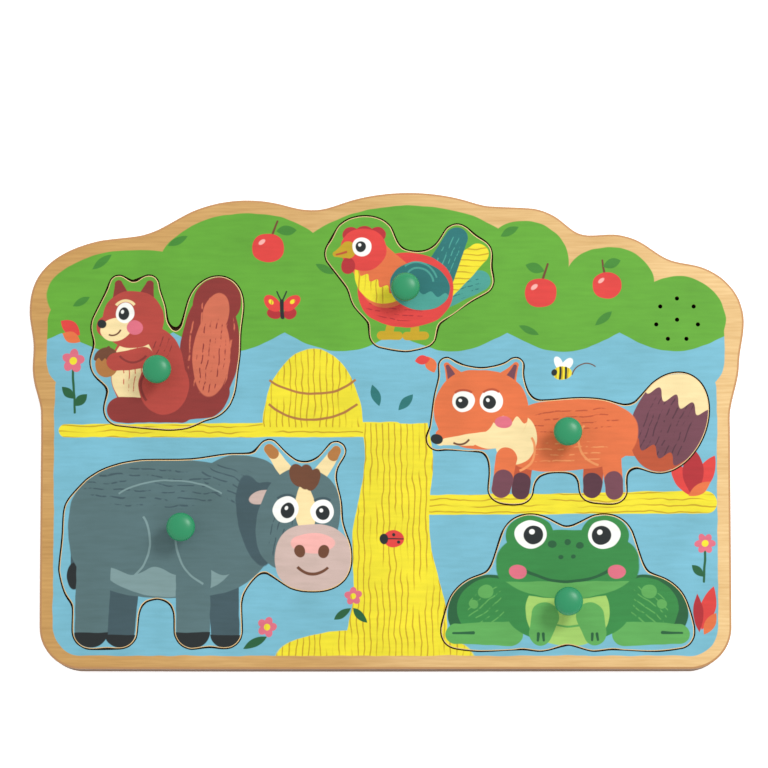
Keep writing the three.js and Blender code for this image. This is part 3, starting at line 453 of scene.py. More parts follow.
drawings["frog"] = {"length": 104, "height": 52, "knob": (0.5, 0.33), "rows": [
    ("greenDark", "oval", (0.17, 0.28, 0.14, 0.23, 24), (0.83, 0.28, 0.14, 0.23, -24)),
    ("green", "oval", (0.18, 0.3, 0.11, 0.19, 24), (0.82, 0.3, 0.11, 0.19, -24)),
    ("greenPale", "hatch", (0.18, 0.3, 0.09, 0.15, 40, 2.6), (0.82, 0.3, 0.09, 0.15, -40, 2.6)),
    ("greenPale", "stroke", (0.05, 0.08, 0.27, 0.08, 0.065, 0.08), (0.73, 0.08, 0.95, 0.08, 0.08, 0.065)),
    ("greenDark", "stroke", (0.04, 0.09, 0.12, 0.09, 0.007, 0.01), (0.96, 0.09, 0.88, 0.09, 0.007, 0.01)),
    ("green", "oval", (0.5, 0.42, 0.25, 0.38, 0, 2.4)),
    ("lime", "oval", (0.5, 0.26, 0.15, 0.24, 0, 2.3)),
    ("greenPale", "arc", (0.5, 0.62, 0.34, -90, 24, 0.008), (0.5, 0.5, 0.36, -90, 22, 0.008)),
    ("greenPale", "stroke", (0.41, 0.22, 0.39, 0.08, 0.09, 0.075), (0.59, 0.22, 0.61, 0.08, 0.09, 0.075)),
    ("greenDark", "stroke", (0.378, 0.03, 0.381, 0.08, 0.008, 0.01),
     (0.403, 0.03, 0.401, 0.08, 0.008, 0.01), (0.622, 0.03, 0.619, 0.08, 0.008, 0.01),
     (0.597, 0.03, 0.599, 0.08, 0.008, 0.01)),
    ("green", "oval", (0.35, 0.87, 0.082, 0.13), (0.65, 0.87, 0.082, 0.13),
     (0.5, 0.64, 0.27, 0.24, 0, 2.5)),
    ("greenPale", "cap", (0.5, 0.64, 0.27, 0.24, 180, 0.5)),
    ("white", "oval", (0.352, 0.88, 0.054, 0.09), (0.648, 0.88, 0.054, 0.09)),
    ("ink", "oval", (0.362, 0.875, 0.033, 0.06), (0.638, 0.875, 0.033, 0.06)),
    ("white", "oval", (0.355, 0.9, 0.009, 0.017), (0.631, 0.9, 0.009, 0.017)),
    ("greenDark", "arc", (0.5, 1.19, 0.69, -90, 30, 0.012)),
    ("greenDark", "oval", (0.475, 0.7, 0.008, 0.014), (0.525, 0.7, 0.008, 0.014)),
    ("pink", "oval", (0.3, 0.58, 0.03, 0.045), (0.7, 0.58, 0.03, 0.045)),
    ("greenDark", "oval", (0.44, 0.8, 0.014, 0.024), (0.5, 0.82, 0.01, 0.018),
     (0.55, 0.79, 0.013, 0.022)),
    ("greenPale", "oval", (0.17, 0.42, 0.025, 0.045), (0.12, 0.32, 0.016, 0.03),
     (0.83, 0.42, 0.025, 0.045), (0.88, 0.32, 0.016, 0.03)),
]}
drawings["fox"] = {"length": 116, "height": 60, "knob": (0.5, 0.47), "rows": [
    ("orangeDark", "stroke", (0.34, 0.3, 0.33, 0.07, 0.055, 0.05), (0.6, 0.3, 0.59, 0.08, 0.06, 0.05)),
    ("purpleDark", "stroke", (0.333, 0.13, 0.33, 0.07, 0.053, 0.05),
     (0.592, 0.13, 0.59, 0.08, 0.053, 0.05)),
    ("orange", "stroke", (0.66, 0.42, 0.82, 0.46, 0.08, 0.13)),
    ("purple", "oval", (0.87, 0.55, 0.115, 0.33, -24)),
    ("purpleDark", "hatch", (0.865, 0.53, 0.15, 0.18, 66, 2.6)),
    ("orangeDark", "cap", (0.87, 0.55, 0.115, 0.33, 156, 0.62, 4)),
    ("cream", "cap", (0.87, 0.55, 0.115, 0.33, -24, 0.44, 4)),
    ("orange", "oval", (0.5, 0.46, 0.24, 0.22, 4, 2.4)),
    ("orangeDark", "hatch", (0.52, 0.56, 0.17, 0.1, 4, 2.6)),
    ("orangePale", "hatch", (0.5, 0.34, 0.16, 0.08, 2, 2.6)),
    ("cream", "oval", (0.315, 0.43, 0.06, 0.15, -14)),
    ("orange", "stroke", (0.28, 0.3, 0.26, 0.08, 0.06, 0.05), (0.66, 0.3, 0.67, 0.07, 0.055, 0.05)),
    ("purple", "stroke", (0.267, 0.15, 0.26, 0.08, 0.055, 0.05), (0.667, 0.14, 0.67, 0.07, 0.053, 0.05)),
    ("orangePale", "arc", (0.63, 0.42, 0.17, 200, 60, 0.008), (0.3, 0.36, 0.16, -20, 50, 0.008)),
    ("orange", "stroke", (0.1, 0.84, 0.065, 0.95, 0.06, 0.018), (0.28, 0.84, 0.315, 0.95, 0.06, 0.018)),
    ("purple", "stroke", (0.085, 0.86, 0.068, 0.94, 0.026, 0.012),
     (0.295, 0.86, 0.312, 0.94, 0.026, 0.012)),
    ("orange", "oval", (0.19, 0.64, 0.155, 0.25, 0, 2.2)),
    ("cream", "cap", (0.228, 0.62, 0.115, 0.225, 180, 0.2, 5)),
    ("cream", "stroke", (0.13, 0.51, 0.04, 0.43, 0.11, 0.034)),
    ("orange", "stroke", (0.16, 0.62, 0.045, 0.47, 0.13, 0.03)),
    ("ink", "oval", (0.028, 0.435, 0.018, 0.03)),
    ("nutDark", "arc", (0.11, 0.485, 0.09, -80, 40, 0.007)),
    ("pink", "oval", (0.27, 0.55, 0.026, 0.034)),
    ("white", "oval", (0.125, 0.7, 0.032, 0.062), (0.225, 0.7, 0.034, 0.064)),
    ("ink", "oval", (0.119, 0.692, 0.018, 0.038), (0.217, 0.692, 0.019, 0.039)),
    ("white", "oval", (0.113, 0.707, 0.005, 0.01), (0.211, 0.707, 0.005, 0.01)),
    ("orangeDark", "arc", (0.125, 0.69, 0.09, 90, 40, 0.008), (0.225, 0.69, 0.09, 90, 40, 0.008)),
]}
drawings["rooster"] = {"length": 68, "height": 48, "knob": (0.48, 0.44), "rows": [
    ("tealPale", "stroke", (0.68, 0.4, 0.94, 0.52, 0.12, 0.075)),
    ("teal", "hatch", (0.82, 0.46, 0.13, 0.1, 18, 2.2)),
    ("yellow", "stroke", (0.68, 0.46, 0.93, 0.76, 0.12, 0.075)),
    ("teal", "stroke", (0.66, 0.5, 0.8, 0.9, 0.12, 0.075)),
    ("tealPale", "hatch", (0.74, 0.72, 0.15, 0.08, 66, 2.2)),
    ("yellowDark", "stroke", (0.4, 0.22, 0.38, 0.05, 0.03, 0.03), (0.54, 0.22, 0.54, 0.05, 0.03, 0.03),
     (0.33, 0.035, 0.44, 0.035, 0.03, 0.03), (0.49, 0.035, 0.6, 0.035, 0.03, 0.03)),
    ("red", "oval", (0.48, 0.44, 0.27, 0.29, 0, 2.2)),
    ("redDark", "hatch", (0.42, 0.3, 0.2, 0.13, -8, 2.4)),
    ("orange", "stroke", (0.36, 0.52, 0.24, 0.76, 0.2, 0.14)),
    ("yellow", "cap", (0.34, 0.56, 0.15, 0.2, 150, 0.3, 5)),
    ("redDark", "oval", (0.145, 0.93, 0.045, 0.055), (0.225, 0.945, 0.048, 0.055),
     (0.305, 0.93, 0.045, 0.055)),
    ("red", "oval", (0.22, 0.8, 0.115, 0.15)),
    ("redDark", "oval", (0.125, 0.655, 0.035, 0.06)),
    ("yellowDark", "stroke", (0.12, 0.79, 0.045, 0.76, 0.06, 0.02)),
    ("orangeDark", "stroke", (0.11, 0.775, 0.05, 0.755, 0.008, 0.006)),
    ("white", "oval", (0.21, 0.82, 0.047, 0.068)),
    ("ink", "oval", (0.202, 0.82, 0.026, 0.04)),
    ("white", "oval", (0.195, 0.835, 0.008, 0.012)),
    ("teal", "oval", (0.57, 0.47, 0.16, 0.17, -12)),
    ("tealPale", "cap", (0.57, 0.47, 0.16, 0.17, 170, 0.2, 4)),
    ("tealPale", "arc", (0.56, 0.5, 0.13, 70, 66, 0.008), (0.55, 0.5, 0.18, 70, 56, 0.008)),
]}

# The picture round the animals, in mm from the middle of the board
ground = [
    # straw bands, a path with its foot, a stack with two ropes, and two leaves
    ("yellow", "stroke", (-135, -0.6, 4, 0, 2.8, 3.2), (17, -31.8, 134, -30.6, 4, 4.8)),
    ("yellow", "path", (3.5, 14, -100, 2.6, 1.6, 62, 0.7)),
    ("yellow", "oval", (-5, -98, 42, 14, 0, 2.3)),
    ("yellow", "cap", (-31, 1, 21, 33, 0, 0)),
    ("nut", "arc", (-31, 46, 31, -90, 36, 0.5), (-31, 33, 29, -90, 40, 0.5)),
    ("teal", "leaf", (-3, 10, -6, 19, 1.9), (5, 8, 11, 15, 1.9)),
    # the crown of leaves
    ("leaf", "scallop", (41, 8, 47, 4)),
    ("leafDark", "leaf", (-124, 68, -116, 74, 1.6), (-132, 52, -125, 56, 1.6), (-30, 70, -22, 66, 1.6),
     (-92, 78, -84, 82, 1.6), (56, 44, 64, 40, 1.6), (48, 82, 56, 86, 1.6), (88, 44, 95, 50, 1.6),
     (76, 76, 84, 80, 1.6), (118, 74, 126, 71, 1.6)),
    # apples
    ("nutDark", "stroke", (-48, 83, -46, 88, 0.5, 0.4), (66, 64, 68, 70, 0.5, 0.4),
     (92, 66, 91, 71.6, 0.5, 0.4)),
    ("red", "oval", (-50, 77, 6.6, 6, 0, 2.3), (65, 58, 6.6, 6, 0, 2.3), (93, 61, 6, 5.6, 0, 2.3)),
    ("pinkPale", "oval", (-52.6, 79.4, 1.6, 0.9, 40), (62.4, 60.4, 1.6, 0.9, 40),
     (90.6, 63.2, 1.5, 0.8, 40)),
    ("leafDark", "leaf", (-46.4, 84, -38, 84.6, 2.1), (66.6, 67, 58.6, 69.6, 2.1),
     (91.4, 69, 99, 71.6, 2.1)),
    # a butterfly
    ("redDark", "oval", (-47.4, 49, 3, 2.2, -20), (-40.6, 49, 3, 2.2, 20)),
    ("red", "oval", (-48, 53.4, 4.4, 2.8, 140), (-40, 53.4, 4.4, 2.8, 40)),
    ("yellow", "oval", (-48.6, 54, 1.2, 0.9, 140), (-39.4, 54, 1.2, 0.9, 40)),
    ("ink", "stroke", (-44, 47.5, -44, 54.5, 0.8, 0.8), (-44.4, 55, -46, 58.6, 0.3, 0.3),
     (-43.6, 55, -42, 58.6, 0.3, 0.3)),
    # flowers
    ("greenDark", "stroke", (-132, 26, -131, 7, 0.5, 0.5), (133.6, -50, 133, -64, 0.5, 0.5)),
    ("greenDark", "leaf", (-131.4, 10, -126, 15, 2), (-131.4, 13, -136.6, 18, 2),
     (133.2, -62, 127.8, -57, 1.7), (-60, -92, -50, -87, 1.8), (-15, -75, -22, -80, 1.7),
     (-14, -75, -8, -81, 1.7)),
    ("pink", "flower", (-132, 29, 5, 5, 10), (133.6, -48, 4.4, 6), (-50, -83, 4.4, 5),
     (-14, -70, 3.8, 5, 20)),
    ("yellow", "oval", (-132, 29, 1.6, 1.6), (133.6, -48, 1.4, 1.4), (-50, -83, 1.4, 1.4),
     (-14, -70, 1.2, 1.2)),
    # tulips and petals
    ("red", "leaf", (-137, 46, -129, 40, 2.8), (128, -28, 120, -13, 3.4), (129, -28, 138, -11, 3.6),
     (132, -84, 137, -66, 3.2)),
    ("redDark", "leaf", (128.6, -28, 129, -8, 4.4), (131, -85, 130, -69, 2.2)),
    ("orange", "leaf", (-136.6, 41, -129, 37, 2.4), (127, -28, 136, -22, 2.2), (133, -86, 138, -77, 2.2),
     (17, 31, 20, 24, 2.4)),
    ("red", "leaf", (12, 29, 18, 30, 2)),
    # a ladybird and a bee
    ("red", "oval", (3, -46, 4.4, 3.6)),
    ("white", "oval", (76, 27.6, 3.2, 1.8, 50), (72.4, 27.8, 3.2, 1.8, 110)),
    ("yellow", "oval", (74, 23.8, 4, 2.8)),
    ("ink", "stroke", (0, -46, 7, -46, 0.25, 0.25), (73, 21.6, 73, 26, 0.5, 0.5),
     (75.4, 21.6, 75.4, 26, 0.5, 0.5)),
    ("ink", "oval", (-1.2, -46, 1.8, 2.2), (3, -44.4, 0.7, 0.7), (5, -47.4, 0.7, 0.7),
     (70.4, 24, 1.2, 1.3)),
    ("nutDark", "arc", (84, 22, 6, 110, 60, 0.25)),
]

# The print's own frame, from the nodes: the speaker lies behind the middle of the corner lobe
board = {
    "printWidth": 278.5,
    "printHeight": 190,
    "border": 5.6,
    "corner": 12,
    "lowerPart": 0.65,  # share of the height with straight sides
    "shoulders": (0.694, 0.512, 0.106),  # middle height, half-width and half-height
    "lobes": [
        (-0.374, 0.797, 0.139, 0.104),
        (0.035, 0.84, 0.185, 0.16),
        (0.441, 0.7447, 0.0735, 0.097),
        (-0.21, 0.833, 0.142, 0.15),
        (0.21, 0.87, 0.068, 0.096),
        (0.338, 0.828, 0.068, 0.079),
    ],
    "speakerLobe": 2,
    "notch": (0.274, 0.79, 0.06, 0.05),  # closes the print between two lobes
    "edge": 1,  # rounding of the outer edge
    "backEdge": 0.5,
    "pieceEdge": 0.4,
    "curveSteps": 4,
    "rimSteps": 4,
    "openingCorner": 3.6,
    "cornerSteps": 6,
}
boardLow, boardHigh = nodeSpan("face_plate")
speakerMiddle = nodeMiddle("speaker_magnet")
printMiddle = speakerMiddle.x - board["lobes"][board["speakerLobe"]][0] * board["printWidth"]
printBottom = boardLow.y + board["border"]
faceTop = boardHigh.z
floorTop = boardLow.z


def drawingBox(name):
    # the left, bottom, length and height of an animal's drawing, from the place of its knob
    drawing = drawings[name]
    knob = nodeMiddle(name + "_knob")
    left = knob.x - drawing["knob"][0] * drawing["length"]
    bottom = knob.y - drawing["knob"][1] * drawing["height"]
    return left, bottom, drawing["length"], drawing["height"]


# The print is drawn fuller than the shapes that the cut lines were traced round
fullness = {"most": 1.9, "share": 0.26}


def grown(size):
    return min(fullness["most"], size * fullness["share"])


# A form of an animal's drawing, in mm on the board
def placeForm(form, values, box):
    left, bottom, length, height = box
    x, y, third, fourth, *rest = values
    place = [left + x * length, bottom + y * height]
    if form == "arc":
        return [*place, third * height, fourth, rest[0], rest[1] * height]
    if form in ("oval", "cap", "hatch"):
        width, depth = third * length, fourth * height
        more = grown(min(width, depth)) if form != "hatch" else 0
        return [*place, width + more, depth + more, *rest]
    widths = [value * height for value in rest]
    if form == "stroke":
        widths = [width + grown(width) for width in widths]
    return [*place, left + third * length, bottom + fourth * height, *widths]


# The box that a form of the picture fills: left, bottom, right and top
def formBox(form, values):
    if form == "scallop":
        level, depth = values[:2]
        return -board["printWidth"], level - depth, board["printWidth"], board["printHeight"]
    if form == "path":
        x, halfWidth, bottom, top, sway, wave, flare = values
        reach = halfWidth * (1 + flare) + sway
        return x - reach, bottom, x + reach, top
    x, y, third, fourth = values[:4]
    if form in ("stroke", "leaf"):
        reach = max(values[4:])
        return min(x, third) - reach, min(y, fourth) - reach, max(x, third) + reach, max(y, fourth) + reach
    reach = third if form in ("flower", "arc") else max(third, fourth)
    return x - reach, y - reach, x + reach, y + reach


def near(form, values, low, high):
    left, bottom, right, top = formBox(form, values)
    return left < high.x and right > low.x and bottom < high.y and top > low.y


# The forms of a picture's rows, one for each place
def forms(rows):
    return [(ink, form, values) for ink, form, *places in rows for values in places]


wood = {
    "plyLight": (198, 154, 90),
    "plyDark": (176, 132, 74),
    # pale copies of the ply colours, used as painted light
    "litPlyLight": (232, 198, 142),
    "litPlyDark": (212, 172, 112),
    "paleCut": (0.9, -0.05),
    "palePatch": 60,
    "ring": 7,
    "ringStretch": 9,
    "ringShare": 0.5,
    "streakShare": 0.8,
    "plyCut": (2.4, -1.1),
    "rim": (184, 136, 88),
    "veneer": 1.5,
    "veneerCut": (8, -4),
    "crossedShare": 0.7,  # how much darker every other veneer is
    "speckle": 0.7,
    "speckleStretch": 4,
    # brown of the ply's edges, darkened as painted shade of the sides
    "shadedEdgeLight": (142, 102, 62),
    "shadedEdgeDark": (86, 56, 34),
}


# Bare face ply, with its grain across the board, and painted light: paler towards the right, as if lit from
# that side, and paler in random patches
def barePly(finish, streaks):
    paler = finish.part(0) * (1 / board["printWidth"]) + finish.noise(wood["palePatch"], 1)
    paler = paler.ramp(*wood["paleCut"])
    light = finish.mix(paler, wood["plyLight"], wood["litPlyLight"])
    dark = finish.mix(paler, wood["plyDark"], wood["litPlyDark"])
    rings = finish.noise(wood["ring"], 2, (wood["ringStretch"], 1, 1))
    grain = streaks * wood["streakShare"] + rings * wood["ringShare"]
    return finish.mix(grain.ramp(*wood["plyCut"]), light, dark)


# Plywood seen from its edge: veneers one over the other, their brown made darker as painted shade for the
# board's shaded sides
def veneers(finish, bottom):
    layer = (finish.part(2) - bottom) * (1 / wood["veneer"])
    crossed = layer.math("PINGPONG", layer, 1).ramp(*wood["veneerCut"])
    stretch = wood["speckleStretch"]
    speckle = finish.noise(wood["speckle"], 3, (stretch, stretch, 1))
    fine = finish.mix(speckle, wood["shadedEdgeLight"], wood["shadedEdgeDark"])
    return finish.mix(crossed * wood["crossedShare"], fine, wood["shadedEdgeDark"])


# The varnish over a print. How upright the normal is tells face, rim and side apart.
varnish = {
    "grain": 1,
    "grainStretch": 14,
    "grainHeight": 0.03,
    "roughness": 0.44,
    "unevenness": 0.14,
    "patch": 5,
    "rimCut": (3, -0.5),
    "faceCut": (24, -22.8),
}


# Satin varnish over a printed sheet: print on top, ply at the sides
def printedSheet(name, drawn, limits=None):
    finish = Print(name)
    for ink, form, values in drawn:
        finish.draw(ink, form, values)
    printed = finish.mix(1, finish.colour, finish.brushwork(), "MULTIPLY")
    streaks = finish.noise(varnish["grain"], 5, (varnish["grainStretch"], 1, 1))
    if limits:
        printed = finish.mix(limits(finish), barePly(finish, streaks), printed)
    facing = finish.part(2, finish.node("TexCoord", output="Normal"))
    # The pieces' rounded rims show pale bare ply, made pale as painted highlight along the cut lines
    rim = wood["rim"] if limits else wood["litPlyLight"]
    sanded = finish.mix(facing.ramp(*varnish["rimCut"]), veneers(finish, floorTop), rim)
    colour = finish.mix(facing.ramp(*varnish["faceCut"]), sanded, printed)
    roughness = varnish["roughness"] + finish.noise(varnish["patch"], 3) * varnish["unevenness"]
    return finish.surface(colour, roughness, streaks, varnish["grainHeight"])


# The printed area of the face plate: its lobes, its shoulders and its lower part
def printedArea(finish):
    width, height, lower = board["printWidth"], board["printHeight"], board["lowerPart"]

    def placed(x, y, halfX, halfY):
        return printMiddle + x * width, printBottom + y * height, halfX * width, halfY * height

    ovals = [*board["lobes"], board["notch"]]
    boxes = [(0, *board["shoulders"]), (0, lower / 2, 1 / 2, lower / 2)]
    masks = [finish.oval(*placed(*oval)) for oval in ovals]
    masks += [finish.roundedBox(*placed(*box), board["corner"]) for box in boxes]
    return reduce(Wire.orMore, masks)


def facePlateFinish():
    return printedSheet("printed_face", forms(ground), printedArea)


def pieceFinish(name):
    low, high = nodeSpan(name + "_piece")
    box = drawingBox(name)
    drawn = [row for row in forms(ground) if near(*row[1:], low, high)]
    for ink, form, values in forms(drawings[name]["rows"]):
        drawn.append((ink, form, placeForm(form, values, box)))
    return printedSheet(name + "_print", drawn)


# Brown fibreboard, its colours made darker as painted shade for the board's shaded sides
fibreboard = {
    "light": (118, 86, 56),
    "dark": (84, 58, 36),
    "patchColour": (120, 88, 58),
    "fibre": 0.6,
    "patch": 30,
    "patchShare": 0.3,
    "roughness": 0.72,
    "unevenness": 0.12,
    "height": 0.05,
}


def fibreboardFinish():
    finish = Finish("fibreboard")
    fibres = finish.noise(fibreboard["fibre"], 4)
    colour = finish.mix(fibres, fibreboard["light"], fibreboard["dark"])
    patches = finish.noise(fibreboard["patch"], 2) * fibreboard["patchShare"]
    colour = finish.mix(patches, colour, fibreboard["patchColour"])
    roughness = fibreboard["roughness"] + fibres * fibreboard["unevenness"]
    return finish.surface(colour, roughness, fibres, fibreboard["height"])


# Plastics and the like: colour, roughness, size of the pits in mm, and shine
plastics = {
    "knob_green": ((22, 134, 86), 0.32, 2.4, 0.5),
    "dark_plastic": ((40, 42, 46), 0.45),
    "chip_resin": ((18, 18, 20), 0.2, 2),
    "capacitor_sleeve": ((32, 44, 72), 0.3, 2),
    "bush_nylon": ((232, 228, 218), 0.5),
    "gasket_foam": ((30, 30, 30), 0.9, 0.3),
    "cone_film": ((38, 38, 40), 0.7, 0.8),
    "sensor_face": ((200, 160, 90), 0.25, 1),
    "pale_sleeve": ((216, 212, 204), 0.5, 1),
    "dark_sleeve": ((42, 44, 48), 0.5, 1),
    "red_sleeve": ((178, 52, 46), 0.5, 1),
}
dust = {"size": 14, "share": 0.16, "paler": 22, "matt": 0.12}
pitHeight = 0.02


def plasticFinish(name, colour, roughness, pitSize=0.6, shine=softShine):
    finish = Finish(name)
    pits = finish.noise(pitSize, 3)
    film = finish.noise(dust["size"], 3)
    paler = [min(255, c + dust["paler"]) for c in colour]
    shade = finish.mix(film * dust["share"], colour, paler)
    return finish.surface(shade, roughness + film * dust["matt"], pits, pitHeight, shine)


# Metals: colour and roughness
metals = {
    "screw_steel": ((196, 196, 192), 0.28),
    "speaker_steel": ((178, 180, 182), 0.35),
    "magnet_iron": ((120, 122, 126), 0.4),
    "contact_steel": ((204, 204, 200), 0.25),
}
wear = {"scratch": 0.4, "stretch": 6, "height": 0.01, "matt": 0.2, "stain": 3, "share": 0.4, "darker": 0.78}


def metalFinish(name, colour, roughness):
    finish = Finish(name)
    scratches = finish.noise(wear["scratch"], 4, (1, wear["stretch"], 1))
    stains = finish.noise(wear["stain"], 2)
    shade = finish.mix(stains * wear["share"], colour, [c * wear["darker"] for c in colour])
    roughness = roughness + scratches * wear["matt"]
    return finish.surface(shade, roughness, scratches, wear["height"], fixed={"Metallic": 1})


# Wavy tracks under green lacquer. The bend is in radians of their wave.
circuit = {
    "lacquer": (24, 92, 58),
    "tracks": (64, 140, 88),
    "trackShare": 0.6,
    "trackCut": (6, -4),
    "trackHeight": 0.03,
    "rate": 2.4,
    "bend": 9,
    "bendLength": 6,
    "roughness": 0.4,
    "unevenness": 0.15,
    "patch": 2,
}


def circuitFinish():
    finish = Finish("circuit_green")
    bend = finish.noise(circuit["bendLength"], 0) * circuit["bend"]
    tracks = (finish.part(1) * circuit["rate"] + bend).sine().ramp(*circuit["trackCut"])
    colour = finish.mix(tracks * circuit["trackShare"], circuit["lacquer"], circuit["tracks"])
    roughness = circuit["roughness"] + finish.noise(circuit["patch"], 2) * circuit["unevenness"]
    return finish.surface(colour, roughness, tracks, circuit["trackHeight"])


jacket = {
    "dark": (34, 36, 40),
    "copper": (206, 140, 50),
    "copperCut": (60, -44),
    "turnCut": (9, 0.5),
    "scuffColour": (160, 150, 130),
    "scuff": 2,
    "scuffShare": 0.2,
    "roughness": 0.3,
    "unevenness": 0.15,
    "metallic": 0.7,
}


# The copper end of a cell's jacket is beside its button
def cellFinish():
    finish = Finish("cell_jacket")
    low, high = nodeSpan("battery_1")
    share = (finish.part(0) - low.x) * (1 / (high.x - low.x))
    middle = (nodeMiddle("battery_1").y + nodeMiddle("battery_2").y) / 2
    turned = (finish.part(1) - middle).ramp(*jacket["turnCut"])
    end = share * (1 - turned) + (1 - share) * turned
    scuffs = finish.noise(jacket["scuff"], 4)
    colour = finish.mix(end.ramp(*jacket["copperCut"]), jacket["dark"], jacket["copper"])
    colour = finish.mix(scuffs * jacket["scuffShare"], colour, jacket["scuffColour"])
    roughness = jacket["roughness"] + scuffs * jacket["unevenness"]
    return finish.surface(colour, roughness, fixed={"Metallic": jacket["metallic"]})


finishes = {
    "printed_face": facePlateFinish(),
    "fibreboard": fibreboardFinish(),
    "circuit_green": circuitFinish(),
    "cell_jacket": cellFinish(),
}
finishes.update({name: plasticFinish(name, *values) for name, values in plastics.items()})
finishes.update({name: metalFinish(name, *values) for name, values in metals.items()})
finishes.update({name + "_print": pieceFinish(name) for name in animalNames})
slotOf = {part["node"]: part["material_slot"] for part in frame["record"]["subparts"]}
for nodeName, node in nodes.items():
    node.data.materials.clear()
    node.data.materials.append(finishes[slotOf[nodeName]])
print("finishes made:", len(finishes))

sharpAngle = math.radians(32)


# Writes a mesh as the piece that stands for a node. A plate's flat faces are kept flat.
def finishPiece(mesh, nodeName, plate=False):
    bmesh.ops.remove_doubles(mesh, verts=mesh.verts, dist=weldDistance)
    bmesh.ops.recalc_face_normals(mesh, faces=mesh.faces)
    mesh.normal_update()
    for face in mesh.faces:
        face.smooth = True
    for edge in mesh.edges:
        if len(edge.link_faces) != 2:
            raise ValueError(f"{nodeName} has an open edge")
        edge.smooth = edge.calc_face_angle() < sharpAngle
        if plate:
            level = [abs(face.normal.z) > levelNormal for face in edge.link_faces]
            edge.smooth = edge.smooth and level[0] == level[1]
    data = bpy.data.meshes.new(nodeName + "_shown")
    mesh.to_mesh(data)
    mesh.free()
    piece = bpy.data.objects.new(data.name, data)
    bpy.context.scene.collection.objects.link(piece)
    data.materials.append(finishes[slotOf[nodeName]])
    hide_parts(nodeName)
    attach(piece, nodes[nodeName]["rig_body"])


# A copy of a node's mesh with its loose triangles joined
def mergedCopy(nodeName):
    mesh = bmesh.new()
    mesh.from_mesh(nodes[nodeName].data)
    bmesh.ops.remove_doubles(mesh, verts=mesh.verts, dist=weldDistance)
    mesh.normal_update()
    return mesh


# The closed outlines of a CAD node at a level in mm, the widest first
def nodeOutlines(nodeName, level):
    mesh = mergedCopy(nodeName)
    unused = set()
    for edge in mesh.edges:
        atLevel = all(abs(vert.co.z - level * mm) < levelTolerance for vert in edge.verts)
        flat = all(abs(face.normal.z) > levelNormal for face in edge.link_faces)
        if atLevel and not flat:
            unused.add(edge)
    outlines = []
    while unused:
        edge = min(unused, key=lambda e: e.index)
        unused.discard(edge)
        start, vert = edge.verts
        outline = [start.co.copy()]
        while vert is not start:
            outline.append(vert.co.copy())
            edge = next(e for e in vert.link_edges if e in unused)
            unused.discard(edge)
            vert = edge.other_vert(vert)
        outlines.append([point / mm for point in outline])
    mesh.free()
    return sorted(outlines, key=lambda line: min(p.x for p in line) - max(p.x for p in line))


# A smooth closed curve through an outline's points
def smoothOutline(points):
    count = len(points)
    slopes = [(points[(i + 1) % count] - points[i - 1]).normalized() for i in range(count)]
    curve = []
    for i, point in enumerate(points):
        after = points[(i + 1) % count]
        third = (after - point).length / 3
        handles = point + slopes[i] * third, after - slopes[(i + 1) % count] * third
        curve += interpolate_bezier(point, *handles, after, board["curveSteps"] + 1)[:-1]
    return curve


# The rectangle round an outline, with round corners
def roundedRing(outline, radius):
    low = Vector((min(p.x for p in outline), min(p.y for p in outline), 0))
    high = Vector((max(p.x for p in outline), max(p.y for p in outline), 0))
    mesh = bmesh.new()
    bmesh.ops.create_grid(mesh, x_segments=1, y_segments=1, size=0.5)
    bmesh.ops.scale(mesh, verts=mesh.verts, vec=high - low)
    bmesh.ops.translate(mesh, verts=mesh.verts, vec=(low + high) / 2)
    form = {"offset": radius, "segments": board["cornerSteps"], "profile": 0.5, "material": -1}
    bmesh.ops.bevel(mesh, geom=mesh.verts[:], affect="VERTICES", **form)
    mesh.faces.ensure_lookup_table()
    ring = [vert.co.copy() for vert in max(mesh.faces, key=lambda face: len(face.verts)).verts]
    mesh.free()
    return ring


def addRing(mesh, points, z):
    verts = [mesh.verts.new((point.x * mm, point.y * mm, z * mm)) for point in points]
    return [mesh.edges.new((verts[i - 1], verts[i])) for i in range(len(verts))]


# Pulls a ring of edges along Z into a wall, scaled about its middle, and gives the new ring
def raiseRing(mesh, ring, height, scale=1):
    made = bmesh.ops.extrude_edge_only(mesh, edges=ring)["geom"]
    verts = [v for v in made if isinstance(v, bmesh.types.BMVert)]
    middle = sum((v.co for v in verts), Vector()) / len(verts)
    bmesh.ops.scale(mesh, verts=verts, vec=(scale, scale, 1), space=Matrix.Translation(-middle))
    bmesh.ops.translate(mesh, verts=verts, vec=(0, 0, height * mm))
    return [e for e in made if isinstance(e, bmesh.types.BMEdge)]


# Fills a ring with one face, rounds its rim over and opens the face again
def roundRim(mesh, ring, radius, direction):
    cap = bmesh.ops.contextual_create(mesh, geom=ring)["faces"][0]
    cap.normal_update()
    if cap.normal.z * direction < 0:
        cap.normal_flip()
    step = math.pi / 2 / board["rimSteps"]
    for i in range(board["rimSteps"]):
        now, after = step * i, step * (i + 1)
        inward = radius * (math.cos(now) - math.cos(after)) * mm
        upward = radius * (math.sin(after) - math.sin(now)) * mm
        bmesh.ops.inset_individual(mesh, faces=[cap], thickness=inward, depth=upward, use_even_offset=True)
    rim = list(cap.edges)
    bmesh.ops.delete(mesh, geom=[cap], context="FACES_ONLY")
    return rim


# A flat plate. A hole is an outline and its steps up through the plate, each a height and a scale.
def makePlate(outer, holes, bottom, top, bottomEdge=0, topEdge=0):
    mesh = bmesh.new()
    lower = addRing(mesh, outer, bottom + bottomEdge)
    upper = raiseRing(mesh, lower, top - topEdge - bottom - bottomEdge)
    if bottomEdge:
        lower = roundRim(mesh, lower, bottomEdge, -1)
    if topEdge:
        upper = roundRim(mesh, upper, topEdge, 1)
    for outline, *steps in holes:
        ring = addRing(mesh, outline, bottom)
        lower += ring
        for height, scale in steps or [(top - bottom, 1)]:
            ring = raiseRing(mesh, ring, height, scale)
        upper += ring
    for rim in (lower, upper):
        bmesh.ops.triangle_fill(mesh, use_beauty=True, edges=rim, normal=(0, 0, 1))
    return mesh


